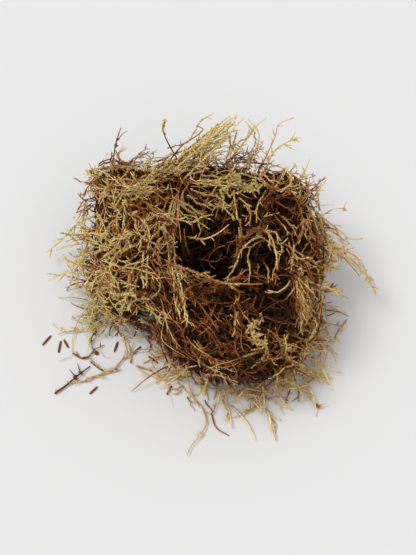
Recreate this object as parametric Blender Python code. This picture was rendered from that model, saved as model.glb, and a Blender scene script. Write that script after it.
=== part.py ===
# A clump of dried feather moss: a loose tangle of shoots, matted into one mound with a nest-like
# hollow in its top, with stray shoots that stand out of it and lie on the table around it, and a
# little litter: fallen needles, a seed and a piece of bark twig.
# The clump rests on z = 0. The origin is the middle of the face that it rests on.

import math

import bmesh
import bpy
from mathutils import Vector
from mathutils.bvhtree import BVHTree

MM = 0.001

# Driving dimensions of the matted mound, in millimetres.
MOUND_ACROSS = 152
MOUND_DEEP = 156
MOUND_HEIGHT = 78
WIDEST_HEIGHT = 28
MOUND_SQUARENESS = 2.35
MOUND_MIDDLE = Vector((0, 0, WIDEST_HEIGHT))
MOUND_SUBDIVISIONS = 4

# The mound's ripple: its height, and along X, Y and Z the length of a radian and the phase.
RIPPLE_HEIGHT = 1.1
RIPPLE_WAVES = ((5.3, 0), (6.1, 1), (4.7, 2))

# Ropes of matted shoots on the mound, in millimetres. Their ends dive into the mound.
ROPE_RADIUS = 1.7
ROPE_END_RADIUS = 1.02
ROPE_LIFT = 1.0
ROPE_SINK = 1.6
ROPE_STEPS = 5
ROPE_TURN = 0.3
BACK_ROPE_END_LIFT = 0.4
BACK_ROPE_RISE = 2

# Driving dimensions of the stray shoots, in millimetres.
STEM_RADIUS = 0.85
TIP_RADIUS = 0.4
THIN_STEM_RADIUS = 0.45
STEM_STEPS = 4
CLEARANCE = 0.7
FLOOR_CLEARANCE = 0.15
TABLE_HEIGHT = 6

# Side twigs: a root no wider than this share of the stem, and spaced so that a bare stretch of
# stem stays at both ends. A twig shortens towards the tip of its stem.
TWIG_RADIUS = 0.5
TWIG_ROOT_SHARE = 0.62
TWIG_TIP_RADIUS = 0.3
TWIG_ANGLE = math.radians(38)
TWIG_TURN = 0.6
TWIG_BARE_START = 1.2
TWIG_BARE_STEM = 1.4
TWIG_LONGEST = 1.15
TWIG_SHORTENING = 0.5

# Points of one surface this near to each other are one, and edges this short close up, in metres.
WELD = 0.00001
SMALLEST_EDGE = 0.000002

# The clump is drawn as it is seen from in front, 55 degrees above the table. A point of the
# drawing is (across, up, height): its place across and up the drawing, which lies square to the
# line of sight through DRAWING_CENTRE, and its height above the table, all in millimetres.
VIEW_ELEVATION = math.radians(55)
VIEW_DISTANCE = 765
DRAWING_CENTRE = Vector((2, -3, 30))
TOWARDS_VIEWER = Vector((0, -math.cos(VIEW_ELEVATION), math.sin(VIEW_ELEVATION)))
DRAWING_UP = Vector((0, math.sin(VIEW_ELEVATION), math.cos(VIEW_ELEVATION)))
EYE = DRAWING_CENTRE + VIEW_DISTANCE * TOWARDS_VIEWER

# Swellings and dents of the mound: middle, reach, and how far the surface moves, in millimetres.
LUMPS = {
    "nest hollow": ((2, -13, 78), 21, (0, 3, -46)),
    "upper hollow": ((6, 18, 78), 15, (0, 2, -12)),
    "right hollow": ((38, -14, 74), 12, (-2, 4, -15)),
    "front hollow": ((26, -42, 66), 14, (-2, 10, -13)),
    "upper left shoulder": ((-58, 48, 52), 30, (-10, 9, 13)),
    "upper right shoulder": ((56, 50, 52), 28, (8, 4, 8)),
    "left flank slope": ((-58, -56, 44), 34, (19, 21, -6)),
    "left foot dent": ((-44, -66, 4), 28, (9, 15, 0)),
    "left lower dent": ((-66, -38, 2), 18, (10, 7, 0)),
    "front foot dent": ((-6, -76, 2), 34, (0, 9, 0)),
    "front right swelling": ((50, -66, 12), 26, (3, -9, 2)),
    "right flank dent": ((80, -16, 20), 24, (-9, 2, 0)),
    "back dent": ((14, 84, 24), 26, (0, -8, 0)),
    "front lip": ((-20, -50, 66), 18, (0, -2, 4)),
}

# Ropes of matted shoots that stand proud of the mound, as drawn: places across and up.
FRONT_ROPES = [
    [(-22, 46), (-28, 31), (-26, 24), (-24, 13)],
    [(-24, 11), (-21, 3), (-19, -6), (-16, -15)],
    [(35, 33), (36, 38), (43, 40), (54, 39)],
    [(17, 54), (24, 59), (31, 58), (37, 57)],
    [(-9, 38), (-4, 34), (1, 30)],
    [(-58, 54), (-47, 53), (-35, 52)],
    [(-47, 56), (-38, 62), (-29, 67)],
    [(-54, 70), (-45, 72), (-32, 71)],
    [(-72, 50), (-65, 51), (-54, 47), (-46, 40)],
    [(-73, 17), (-64, 10), (-52, 5), (-40, 8)],
    [(-69, -5), (-61, -3), (-48, -8), (-36, -4)],
    [(-62, 28), (-50, 24), (-42, 28), (-34, 38)],
    [(-30, -4), (-35, -12), (-44, -13), (-50, -18)],
    [(4, -5), (-2, -9), (-9, -15), (-22, -22)],
    [(-12, -8), (-7, -18), (1, -26), (7, -33)],
    [(18, -12), (24, -27), (29, -36), (33, -44)],
    [(32, -22), (42, -28), (54, -29)],
    [(-30, -20), (-20, -29), (-14, -42), (-11, -54)],
    [(7, -39), (17, -48), (20, -60)],
    [(54, -2), (57, -11), (57, -20)],
    [(62, 31), (64, 21), (68, 12)],
    [(32, -52), (42, -50), (53, -47)],
    [(48, 60), (55, 52), (59, 42), (56, 32)],
    [(-14, 56), (-2, 52), (6, 46), (8, 38)],
    [(14, 14), (20, 18), (24, 30), (22, 42)],
    [(-38, -30), (-30, -38), (-28, -50)],
]

# Ropes round the back and sides, which the drawing does not show: the bearing of each from +X
# round to +Y in degrees, where it starts and ends, and the heights of its ends in millimetres.
BACK_ROPES = [
    ((20, 46), (18, 52)),
    ((40, 22), (14, 40)),
    ((58, 84), (46, 20)),
    ((76, 58), (12, 34)),
    ((92, 118), (18, 50)),
    ((112, 96), (56, 36)),
    ((128, 150), (46, 16)),
    ((146, 128), (20, 38)),
    ((160, 182), (44, 20)),
    ((186, 172), (50, 62)),
]

# Stray shoots. route and branches hold points of the drawing. twigs is the number of side
# twigs and twig their length in millimetres. A loose shoot isn't rooted in the mound: it lies
# on the table beside it.
SHOOTS = {
    "plume_shoot_1": {"route": [(-22, 66, 60), (-8, 78, 75), (6, 90, 88), (18, 102, 98)],
                      "twigs": 5, "twig": 7},
    "plume_shoot_2": {"route": [(-14, 62, 62), (-2, 74, 75), (10, 86, 86), (22, 99, 96)],
                      "twigs": 5, "twig": 7},
    "plume_shoot_3": {"route": [(-20, 73, 58), (-7, 84, 68), (4, 93, 77), (13, 100, 86)],
                      "twigs": 3, "twig": 6},
    "hooked_shoot": {"route": [(-24, 76, 60), (-16, 82, 68), (-7, 88, 76), (-3, 92, 80),
                               (-7, 94, 81)],
                     "twigs": 0, "twig": 0, "colour": "red_brown"},
    "crossing_shoot": {"route": [(15, 80, 58), (24, 86, 66), (30, 94, 72), (36, 99, 76)],
                       "twigs": 2, "twig": 6},
    "rear_curl_shoot": {"route": [(25, 73, 54), (31, 83, 56), (31, 91, 60), (25, 98, 62)],
                        "twigs": 1, "twig": 5},
    "rear_forked_shoot": {"route": [(36, 74, 46), (41, 86, 50), (44, 95, 54), (53, 99, 56)],
                          "twigs": 2, "twig": 6},
    "rear_leaning_shoot": {"route": [(36, 68, 52), (40, 77, 60), (47, 83, 66), (57, 87, 70)],
                           "twigs": 3, "twig": 6},
    "upper_right_shoot": {"route": [(38, 52, 68), (45, 60, 70), (50, 69, 70)],
                          "twigs": 1, "twig": 5},
    "upper_right_fork": {"route": [(55, 58, 58), (60, 66, 66), (63, 73, 71)],
                         "twigs": 1, "twig": 5},
    "right_rim_shoot": {"route": [(61, 46, 52), (67, 52, 56), (73, 60, 60)],
                        "twigs": 1, "twig": 6},
    "headed_shoot": {"route": [(71, 37, 42), (77, 42, 46), (85, 43, 50)],
                     "twigs": 1, "twig": 4},
    "forked_bud_twig": {"route": [(-60, 66, 60), (-58, 78, 72), (-57, 84, 77), (-54, 93, 84)],
                        "branches": [[(-57, 84, 77), (-53, 89, 80), (-50, 91, 82)]],
                        "twigs": 0, "twig": 0, "colour": "red_brown"},
    "star_tuft_shoot": {"route": [(-62, 64, 58), (-68, 66, 61), (-72, 65, 62), (-76, 67, 63)],
                        "branches": [[(-71, 65, 62), (-74, 71, 65)],
                                     [(-71, 65, 62), (-76, 58, 59)]],
                        "twigs": 0, "twig": 0},
    "seed_stalk": {"route": [(-17, 72, 64), (-26, 86, 80), (-28, 93, 87), (-27, 96, 90)],
                   "twigs": 0, "twig": 0, "radius": THIN_STEM_RADIUS, "tip": 0.9,
                   "colour": "red_brown"},
    "left_long_shoot": {"route": [(-75, 39, 28), (-80, 34, 22), (-91, 23, 14), (-100, 16, 9)],
                        "twigs": 3, "twig": 7},
    "left_low_shoot": {"route": [(-79, 22, 22), (-85, 20, 18), (-94, 17, 14)],
                       "twigs": 1, "twig": 5},
    "left_feather_shoot": {"route": [(-75, 0, 32), (-81, 2, 30), (-89, 3, 26), (-99, -2, 20)],
                           "twigs": 5, "twig": 9},
    "left_upper_feather_shoot": {"route": [(-75, 8, 38), (-81, 9, 38), (-87, 10, 37), (-93, 12, 35)],
                                 "twigs": 3, "twig": 7},
    "left_side_shoot": {"route": [(-77, 24, 46), (-82, 27, 46), (-89, 30, 44)],
                        "twigs": 2, "twig": 6},
    "ground_left_shoot": {"route": [(-70, -31, 3), (-81, -33, 2), (-89, -33, 2), (-96, -29, 2)],
                          "twigs": 2, "twig": 7, "loose": True},
    "hanging_root": {"route": [(-74, -14, 18), (-81, -28, 6), (-84, -38, 1.5), (-84, -47, 1.2),
                               (-79, -50, 1.2)],
                     "twigs": 0, "twig": 0, "radius": THIN_STEM_RADIUS, "colour": "tan"},
    "green_red_shoot": {"route": [(-66, -14, 20), (-60, -21, 16), (-53, -27, 12), (-47, -34, 6)],
                        "twigs": 2, "twig": 5, "colour": "olive"},
    "fan_shoot_1": {"route": [(66, 42, 50), (74, 35, 48), (83, 28, 44), (89, 24, 41), (96, 24, 39)],
                    "twigs": 3, "twig": 6, "colour": "tan"},
    "fan_shoot_2": {"route": [(71, 30, 44), (81, 18, 38), (88, 15, 35), (95, 10, 30),
                              (100, -2, 20), (104, -10, 11)],
                    "twigs": 4, "twig": 7, "colour": "tan"},
    "fan_shoot_3": {"route": [(74, 17, 36), (83, 13, 29), (89, 7, 25), (94, 1, 20)],
                    "twigs": 1, "twig": 5, "colour": "tan"},
    "fan_shoot_4": {"route": [(52, 18, 66), (61, 11, 58), (71, 6, 47), (82, 5, 37)],
                    "twigs": 3, "twig": 6, "colour": "tan"},
    "fan_shoot_5": {"route": [(72, -1, 26), (82, -10, 17), (87, -13, 12)],
                    "twigs": 2, "twig": 5, "colour": "tan"},
    "lower_right_shoot_1": {"route": [(70, -13, 22), (78, -19, 14), (86, -22, 7)],
                            "twigs": 2, "twig": 6, "colour": "tan"},
    "lower_right_shoot_2": {"route": [(77, -41, 2), (81, -33, 3), (86, -28, 4)],
                            "twigs": 1, "twig": 5, "colour": "tan", "loose": True},
    "lower_right_shoot_3": {"route": [(64, -31, 14), (72, -39, 4), (80, -48, 1.5)],
                            "twigs": 2, "twig": 6, "colour": "tan"},
    "lower_right_shoot_4": {"route": [(57, -65, 2), (67, -61, 2), (75, -60, 2)],
                            "twigs": 2, "twig": 6},
    "bud_trailer": {"route": [(50, -66, 3), (60, -71, 2), (65, -76, 2), (70, -81, 2)],
                    "twigs": 2, "twig": 5, "tip": 0.9},
    "front_trailer": {"route": [(-16, -66, 4), (-10, -73, 2), (-4, -80, 2), (-1, -89, 2),
                                (-4, -97, 2), (-10, -104, 2), (-13, -110, 2)],
                      "twigs": 3, "twig": 5},
    "brown_stalk": {"route": [(2, -84, 1.2), (5, -93, 1.2), (13, -98, 1.2)],
                    "twigs": 0, "twig": 0, "radius": THIN_STEM_RADIUS,
                    "colour": "red_brown", "loose": True},
    "front_right_trailer": {"route": [(34, -71, 3), (36, -82, 2), (40, -90, 2), (42, -101, 2)],
                            "twigs": 3, "twig": 5},
    "front_left_shoot": {"route": [(-18, -65, 3), (-27, -63, 2), (-36, -60, 2), (-44, -56, 2)],
                         "twigs": 4, "twig": 7},
    "front_middle_shoot_1": {"route": [(9, -72, 3), (13, -82, 2), (15, -93, 2)],
                             "twigs": 3, "twig": 5},
    "front_middle_shoot_2": {"route": [(31, -77, 2), (25, -83, 2), (18, -86, 2)],
                             "twigs": 1, "twig": 5, "loose": True},
    "front_middle_shoot_3": {"route": [(43, -70, 3), (46, -76, 2), (52, -82, 2)],
                             "twigs": 2, "twig": 5},
    "litter_shoot_1": {"route": [(-77, -64, 1.5), (-66, -60, 1.5), (-54, -57, 1.5)],
                       "twigs": 2, "twig": 6, "loose": True},
    "litter_shoot_2": {"route": [(-48, -53, 1.5), (-48, -46, 1.5), (-51, -38, 1.5)],
                       "twigs": 1, "twig": 6, "loose": True},
    "bark_twig": {"route": [(-95, -72, 1.2), (-88, -67, 1.4), (-81, -61, 1.6), (-73, -55, 1.3)],
                  "branches": [[(-82, -62, 1.6), (-86, -57, 1.3)],
                               [(-79, -60, 1.6), (-81, -53, 1.3)]],
                  "twigs": 0, "twig": 0, "radius": 0.9, "colour": "bark", "loose": True},
    "bridging_shoot": {"route": [(-25, 9, 78), (-10, 4, 76), (8, -3, 75), (22, -4, 75),
                                 (33, -4, 74)],
                       "twigs": 3, "twig": 6, "colour": "tan"},
    "hollow_rim_shoot": {"route": [(-12, 25, 74), (-2, 24, 72), (7, 28, 74), (13, 33, 76)],
                         "twigs": 1, "twig": 6, "colour": "tan"},
    "hollow_side_shoot": {"route": [(31, 29, 76), (38, 27, 76), (42, 16, 76), (43, 5, 74)],
                          "twigs": 1, "twig": 6, "colour": "tan"},
}

# Fallen needles on the table: middle across and up the drawing, bearing in degrees, length.
NEEDLES = [
    (-100, -39, 56, 9), (-92, -43, 84, 9), (-88, -41, 118, 7), (-70, -34, 48, 6),
    (-69, -55, 140, 11), (-57, -43, 76, 8), (-44, -45, 48, 7), (-34, -51, 141, 8),
    (-24, -70, 66, 7), (-71, -70, 49, 7),
]
NEEDLE_WIDTH = 1.1
NEEDLE_THICKNESS = 0.9
NEEDLE_SIDES = 5
NEEDLE_RINGS = 4

# One seed beside them: its middle across and up the drawing, bearing, and its three sizes.
SEED_PLACE = (-69, -47)
SEED_BEARING = 20
SEED_SIZE = (2.2, 1.8, 2.9)

COLOURS = {
    "olive": (0.30, 0.24, 0.07),
    "tan": (0.38, 0.24, 0.11),
    "red_brown": (0.14, 0.05, 0.025),
    "bark": (0.09, 0.06, 0.04),
    "mound": (0.17, 0.10, 0.045),
}
MOSS_ROUGHNESS = 0.85
LITTER_ROUGHNESS = 0.55


def clear_scene():
    for leftover in list(bpy.data.objects):
        bpy.data.objects.remove(leftover)


def new_collection(name):
    collection = bpy.data.collections.new(name)
    bpy.context.scene.collection.children.link(collection)
    return collection


def paint(piece, colour, roughness):
    # One Principled material for each piece, named after it.
    material = bpy.data.materials.new(piece.name)
    material.use_nodes = True
    shader = material.node_tree.nodes["Principled BSDF"]
    shader.inputs["Base Color"].default_value = (*colour, 1)
    shader.inputs["Roughness"].default_value = roughness
    shader.inputs["Metallic"].default_value = 0
    piece.data.materials.clear()
    piece.data.materials.append(material)


def on_plane(across, up, height):
    # Where the line of sight through a place of the drawing crosses that height.
    seen = DRAWING_CENTRE + Vector((across, 0, 0)) + up * DRAWING_UP
    sight = (seen - EYE).normalized()
    return EYE + sight * ((height - EYE.z) / sight.z)


def on_mound(across, up, mound_tree, lift):
    # Where the line of sight through a place of the drawing first meets the mound, lifted off it.
    seen = DRAWING_CENTRE + Vector((across, 0, 0)) + up * DRAWING_UP
    hit, normal, _, _ = mound_tree.ray_cast(EYE * MM, (seen - EYE).normalized())
    if hit is None:
        return None
    return hit / MM + normal * lift


def in_front(point, mound_tree, lift):
    # The nearer to the viewer of the two places above, so that no shoot runs inside the mound.
    # A place on the table stays on the table.
    free = on_plane(*point)
    laid = on_mound(*point[:2], mound_tree, lift)
    on_table = point[2] < TABLE_HEIGHT
    if laid is None or on_table or (free - EYE).length < (laid - EYE).length:
        return free
    return laid


def rooted(point, mound_tree, lift):
    # Where a shoot comes out of the mound: in the line of sight, or else the nearest place to it.
    laid = on_mound(*point[:2], mound_tree, lift)
    if laid is None or point[2] < TABLE_HEIGHT:
        free = on_plane(*point)
        surface, _, _, _ = mound_tree.find_nearest(free * MM)
        surface = surface / MM
        away = surface - free if is_inside(free, mound_tree) else free - surface
        laid = surface + away.normalized() * lift
    return laid


def smooth_route(points, steps):
    # A Catmull-Rom curve through the points, read at equal steps of its parameter.
    ends = [2 * points[0] - points[1], *points, 2 * points[-1] - points[-2]]
    route = []
    for step in range(steps + 1):
        place = step / steps * (len(points) - 1)
        leg = min(int(place), len(points) - 2)
        t = place - leg
        before, start, end, after = ends[leg:leg + 4]
        bend = (2 * before - 5 * start + 4 * end - after) * t * t
        twist = (3 * start - before - 3 * end + after) * t * t * t
        route.append((2 * start + (end - before) * t + bend + twist) / 2)
    return route


def is_inside(point, mound_tree):
    # Inside the mound, the first surface straight overhead faces up.
    roof, normal, _, _ = mound_tree.ray_cast(point * MM, Vector((0, 0, 1)))
    return roof is not None and normal.z > 0


def push_clear(point, mound_tree, gap):
    # A point nearer to the mound than the gap, or inside it, moves out to the gap.
    surface, normal, _, _ = mound_tree.find_nearest(point * MM)
    surface = surface / MM
    if is_inside(point, mound_tree):
        return surface + normal * gap
    offset = point - surface
    if offset.length < gap:
        return surface + offset.normalized() * gap
    return point


def stay_above_table(point, radius):
    lowest = radius + FLOOR_CLEARANCE
    return Vector((point.x, point.y, max(point.z, lowest)))


def tube(name, route, radii, turn=0):
    # A four-sided tube along the route, with closed ends, as a mesh. turn rolls its sides.
    curve = bpy.data.curves.new(name, "CURVE")
    curve.dimensions = "3D"
    curve.bevel_depth = MM
    curve.bevel_resolution = 0
    curve.use_fill_caps = True
    spline = curve.splines.new("POLY")
    spline.points.add(len(route) - 1)
    for knot, point, radius in zip(spline.points, route, radii):
        knot.co = (*(point * MM), 1)
        knot.radius = radius
        knot.tilt = turn
    drawn = bpy.data.objects.new(name, curve)
    bpy.context.scene.collection.objects.link(drawn)
    bpy.context.view_layer.update()
    shown = drawn.evaluated_get(bpy.context.evaluated_depsgraph_get())
    mesh = bpy.data.meshes.new_from_object(shown)
    bpy.data.objects.remove(drawn)
    bm = bmesh.new()
    bm.from_mesh(mesh)
    bmesh.ops.remove_doubles(bm, verts=bm.verts, dist=WELD)
    bmesh.ops.recalc_face_normals(bm, faces=bm.faces)
    bm.to_mesh(mesh)
    bm.free()
    piece = bpy.data.objects.new(name, mesh)
    bpy.context.scene.collection.objects.link(piece)
    return piece


def fuse(body, addition):
    # Grows the addition into the body as one solid.
    union = body.modifiers.new("fuse", "BOOLEAN")
    union.operation = "UNION"
    union.solver = "EXACT"
    union.object = addition
    bpy.context.view_layer.update()
    shown = body.evaluated_get(bpy.context.evaluated_depsgraph_get())
    fused = bpy.data.meshes.new_from_object(shown)
    body.modifiers.clear()
    body.data = fused
    bpy.data.objects.remove(addition)


def tidy_faces(piece):
    # Closes up the slivers that a union leaves and splits every face into triangles.
    bm = bmesh.new()
    bm.from_mesh(piece.data)
    bmesh.ops.dissolve_degenerate(bm, edges=bm.edges, dist=SMALLEST_EDGE)
    bmesh.ops.triangulate(bm, faces=bm.faces)
    bmesh.ops.recalc_face_normals(bm, faces=bm.faces)
    bm.to_mesh(piece.data)
    bm.free()


def move_to(piece, collection):
    for owner in list(piece.users_collection):
        owner.objects.unlink(piece)
    collection.objects.link(piece)


def surface_tree(piece):
    bm = bmesh.new()
    bm.from_mesh(piece.data)
    tree = BVHTree.FromBMesh(bm)
    bm.free()
    return tree


def mound_point(direction):
    # A squarish dome over an undercut foot, with a low ripple all over.
    flat = math.hypot(direction.x, direction.y)
    power = MOUND_SQUARENESS
    swell = (flat ** power + abs(direction.z) ** power) ** (-1 / power)
    rise = (MOUND_HEIGHT - WIDEST_HEIGHT) * swell * direction.z
    point = Vector((MOUND_ACROSS / 2 * swell * direction.x,
                    MOUND_DEEP / 2 * swell * direction.y,
                    WIDEST_HEIGHT + rise))
    ripple = sum(math.sin(place / length + phase)
                 for place, (length, phase) in zip(point, RIPPLE_WAVES))
    point += direction * (RIPPLE_HEIGHT * ripple)
    start = point.copy()
    for middle, reach, move in LUMPS.values():
        nearness = math.exp(-((start - Vector(middle)).length / reach) ** 2)
        point += Vector(move) * nearness
    return point


def bearing_point(bearing, height, mound_tree, lift):
    # Where a level line from the axis, seen from outside on that bearing, meets the mound.
    outward = Vector((math.cos(math.radians(bearing)), math.sin(math.radians(bearing)), 0))
    outside = outward * MOUND_ACROSS + Vector((0, 0, height))
    hit, normal, _, _ = mound_tree.ray_cast(outside * MM, -outward)
    return hit / MM + normal * lift


def build_mound(collection):
    bm = bmesh.new()
    bmesh.ops.create_icosphere(bm, subdivisions=MOUND_SUBDIVISIONS, radius=1)
    for vertex in bm.verts:
        vertex.co = mound_point(vertex.co.copy()) * MM
    everything = bm.verts[:] + bm.edges[:] + bm.faces[:]
    bmesh.ops.bisect_plane(bm, geom=everything, dist=WELD, plane_co=(0, 0, 0),
                           plane_no=(0, 0, -1), clear_outer=True)
    rim = [edge for edge in bm.edges if edge.is_boundary]
    bmesh.ops.contextual_create(bm, geom=rim)
    bmesh.ops.recalc_face_normals(bm, faces=bm.faces)
    mesh = bpy.data.meshes.new("moss_mound")
    bm.to_mesh(mesh)
    bm.free()
    mound = bpy.data.objects.new("moss_mound", mesh)
    bpy.context.scene.collection.objects.link(mound)

    bare = surface_tree(mound)
    routes = []
    for places in FRONT_ROPES:
        laid = [on_mound(across, up, bare, ROPE_LIFT) for across, up in places]
        routes.append([point for point in laid if point is not None])
    for (start, end), (low, high) in BACK_ROPES:
        mid_height = (low + high) / 2 + BACK_ROPE_RISE
        routes.append([bearing_point(start, low, bare, BACK_ROPE_END_LIFT),
                       bearing_point((start + end) / 2, mid_height, bare, ROPE_RADIUS),
                       bearing_point(end, high, bare, BACK_ROPE_END_LIFT)])
    for number, route in enumerate(routes):
        line = smooth_route(route, ROPE_STEPS)
        radii = [ROPE_RADIUS] * ROPE_STEPS + [ROPE_END_RADIUS]
        line[0] -= (line[0] - MOUND_MIDDLE).normalized() * ROPE_SINK
        line[-1] -= (line[-1] - MOUND_MIDDLE).normalized() * ROPE_SINK
        fuse(mound, tube("rope", line, radii, number * ROPE_TURN))
    tidy_faces(mound)
    paint(mound, COLOURS["mound"], MOSS_ROUGHNESS)
    move_to(mound, collection)
    return mound


def twig_route(stem, share, side, length, plane_normal):
    # A straight side twig leaves the stem at an angle.
    place = share * (len(stem) - 1)
    leg = min(int(place), len(stem) - 2)
    root = stem[leg].lerp(stem[leg + 1], place - leg)
    along = (stem[leg + 1] - stem[leg]).normalized()
    sideways = along.cross(plane_normal).normalized() * side
    out = along * math.cos(TWIG_ANGLE) + sideways * math.sin(TWIG_ANGLE)
    return [root, root + out * length]


def build_shoot(name, shoot, mound_tree, collection):
    radius = shoot.get("radius", STEM_RADIUS)
    tip_radius = shoot.get("tip", min(TIP_RADIUS, radius))
    gap = radius + CLEARANCE
    knots = [in_front(point, mound_tree, gap) for point in shoot["route"]]
    if not shoot.get("loose"):
        knots[0] = rooted(shoot["route"][0], mound_tree, gap)
    steps = max(STEM_STEPS, 2 * (len(knots) - 1))
    stem = [stay_above_table(push_clear(point, mound_tree, gap), radius)
            for point in smooth_route(knots, steps)]
    radii = [radius + (tip_radius - radius) * step / steps for step in range(steps + 1)]
    piece = tube(name, stem, radii)
    lies_flat = max(point.z for point in stem) < TABLE_HEIGHT
    plane_normal = Vector((0, 0, 1)) if lies_flat else TOWARDS_VIEWER

    routes = []
    for branch in shoot.get("branches", []):
        routes.append(([in_front(point, mound_tree, gap) for point in branch], TWIG_RADIUS))
    for number in range(shoot["twigs"]):
        share = (number + TWIG_BARE_START) / (shoot["twigs"] + TWIG_BARE_STEM)
        side = 1 if number % 2 == 0 else -1
        length = shoot["twig"] * (TWIG_LONGEST - TWIG_SHORTENING * share)
        stem_radius = radius + (tip_radius - radius) * share
        root_radius = min(TWIG_ROOT_SHARE * stem_radius, TWIG_RADIUS)
        routes.append((twig_route(stem, share, side, length, plane_normal), root_radius))
    for route, root_radius in routes:
        clear = [route[0]]
        clear += [push_clear(point, mound_tree, TWIG_RADIUS + CLEARANCE) for point in route[1:]]
        clear = [stay_above_table(point, TWIG_RADIUS) for point in clear]
        ends = [root_radius] * (len(clear) - 1) + [TWIG_TIP_RADIUS]
        fuse(piece, tube("twig", clear, ends, TWIG_TURN))
    tidy_faces(piece)
    paint(piece, COLOURS[shoot.get("colour", "olive")], MOSS_ROUGHNESS)
    move_to(piece, collection)


def build_spindle(name, middle, bearing, size, collection):
    # A needle or a seed: a round body that narrows to both ends, lying on the table.
    bm = bmesh.new()
    bmesh.ops.create_uvsphere(bm, u_segments=NEEDLE_SIDES, v_segments=NEEDLE_RINGS, radius=0.5)
    mesh = bpy.data.meshes.new(name)
    bm.to_mesh(mesh)
    bm.free()
    piece = bpy.data.objects.new(name, mesh)
    width, thickness, length = size
    piece.location = on_plane(*middle, thickness / 2 + FLOOR_CLEARANCE) * MM
    piece.rotation_euler = (0, math.radians(90), math.radians(bearing))
    piece.scale = (thickness * MM, width * MM, length * MM)
    paint(piece, COLOURS["red_brown"], LITTER_ROUGHNESS)
    collection.objects.link(piece)


def build_clump():
    clear_scene()
    collection = new_collection("moss_clump")
    mound = build_mound(collection)
    mound_tree = surface_tree(mound)
    for name, shoot in SHOOTS.items():
        build_shoot(name, shoot, mound_tree, collection)
    for number, (across, up, bearing, length) in enumerate(NEEDLES, 1):
        size = (NEEDLE_WIDTH, NEEDLE_THICKNESS, length)
        build_spindle(f"needle_{number}", (across, up), bearing, size, collection)
    build_spindle("seed", SEED_PLACE, SEED_BEARING, SEED_SIZE, collection)


build_clump()
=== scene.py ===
# Dresses a clump of dried feather moss: the strands of its tangle, the stray shoots round it and
# the litter beside it, on a pale table in soft light from the upper left.
import math

import bmesh
import bpy
import numpy as np
from mathutils import Matrix, Vector
from mathutils.bvhtree import BVHTree


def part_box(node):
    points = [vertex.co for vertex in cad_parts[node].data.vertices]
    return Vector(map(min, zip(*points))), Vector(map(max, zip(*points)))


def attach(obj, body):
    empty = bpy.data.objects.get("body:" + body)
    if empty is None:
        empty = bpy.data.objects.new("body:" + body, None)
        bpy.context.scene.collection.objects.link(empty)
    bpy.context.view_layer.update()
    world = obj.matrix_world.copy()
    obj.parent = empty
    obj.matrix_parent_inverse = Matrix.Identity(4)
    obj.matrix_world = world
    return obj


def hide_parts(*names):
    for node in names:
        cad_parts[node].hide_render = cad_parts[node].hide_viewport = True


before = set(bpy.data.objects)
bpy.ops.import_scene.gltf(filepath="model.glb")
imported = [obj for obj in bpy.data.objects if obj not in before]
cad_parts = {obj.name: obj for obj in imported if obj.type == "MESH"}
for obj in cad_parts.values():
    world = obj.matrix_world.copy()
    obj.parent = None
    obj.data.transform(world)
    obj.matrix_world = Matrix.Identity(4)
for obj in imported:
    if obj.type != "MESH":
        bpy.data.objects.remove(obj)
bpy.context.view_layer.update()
mm = 0.001

# The camera stands where the photograph was taken from. Lengths are in millimetres.
camera = {"elevation": 55, "distance": 765, "target": (2, -3, 30), "lens": 80, "sensor": 36,
          "clip": (0.01, 20)}
tilt = math.radians(camera["elevation"])
towardsViewer = Vector((0, -math.cos(tilt), math.sin(tilt)))
viewUp = Vector((0, math.sin(tilt), math.cos(tilt)))
target = Vector(camera["target"])
eye = target + camera["distance"] * towardsViewer


def makeCamera():
    data = bpy.data.cameras.new("camera")
    data.lens = camera["lens"]
    data.sensor_width = camera["sensor"]
    data.clip_start, data.clip_end = camera["clip"]
    item = bpy.data.objects.new("camera", data)
    item.location = eye * mm
    item.rotation_euler = (-towardsViewer).to_track_quat("-Z", "Y").to_euler()
    bpy.context.scene.collection.objects.link(item)
    bpy.context.scene.camera = item


class Wire:
    # A socket that can be used in sums, so that shader maths reads as an expression
    def __init__(self, tree, socket=None):
        self.tree = tree
        self.socket = socket

    def node(self, kind, settings, inputs, out=0):
        item = self.tree.nodes.new(kind)
        for name, value in settings.items():
            if name == "stops":
                for number, (place, colour) in enumerate(value):
                    stops = item.color_ramp.elements
                    stop = stops[number] if number < 2 else stops.new(place)
                    stop.position = place
                    stop.color = (*colour, 1)
            else:
                setattr(item, name, value)
        for name, value in inputs.items():
            if isinstance(value, Wire):
                self.tree.links.new(value.socket, item.inputs[name])
            else:
                item.inputs[name].default_value = value
        return Wire(self.tree, item.outputs[out])

    def maths(self, operation, first, second):
        return self.node("ShaderNodeMath", {"operation": operation}, {0: first, 1: second})

    def __add__(self, other):
        return self.maths("ADD", self, other)

    def __radd__(self, other):
        return self.maths("ADD", other, self)

    def __sub__(self, other):
        return self.maths("SUBTRACT", self, other)

    def __rsub__(self, other):
        return self.maths("SUBTRACT", other, self)

    def __mul__(self, other):
        return self.maths("MULTIPLY", self, other)

    def __rmul__(self, other):
        return self.maths("MULTIPLY", other, self)

    def feed(self, shader, name):
        self.tree.links.new(self.socket, shader.inputs[name])


# Every strand's colour comes from this row of dried moss colours: rotted and dark at 0, straw
# coloured at 0.74 and freshly green at 1.
mossColours = {
    "stops": [(0.00, (0.018, 0.0060, 0.0020)), (0.12, (0.056, 0.0180, 0.0045)),
              (0.26, (0.140, 0.040, 0.009)), (0.38, (0.290, 0.097, 0.021)),
              (0.50, (0.440, 0.186, 0.049)), (0.62, (0.600, 0.355, 0.128)),
              (0.74, (0.805, 0.622, 0.305)), (0.86, (0.670, 0.530, 0.180)),
              (0.95, (0.470, 0.430, 0.085)), (1.00, (0.330, 0.370, 0.055))],
    "mottle": 0.5, "mottleGrain": (16, 10), "mottleDetail": 2.0, "tipLight": 0.32, "rootDark": 0.3,
    "roughness": 0.75, "shine": 0.15,
}


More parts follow.
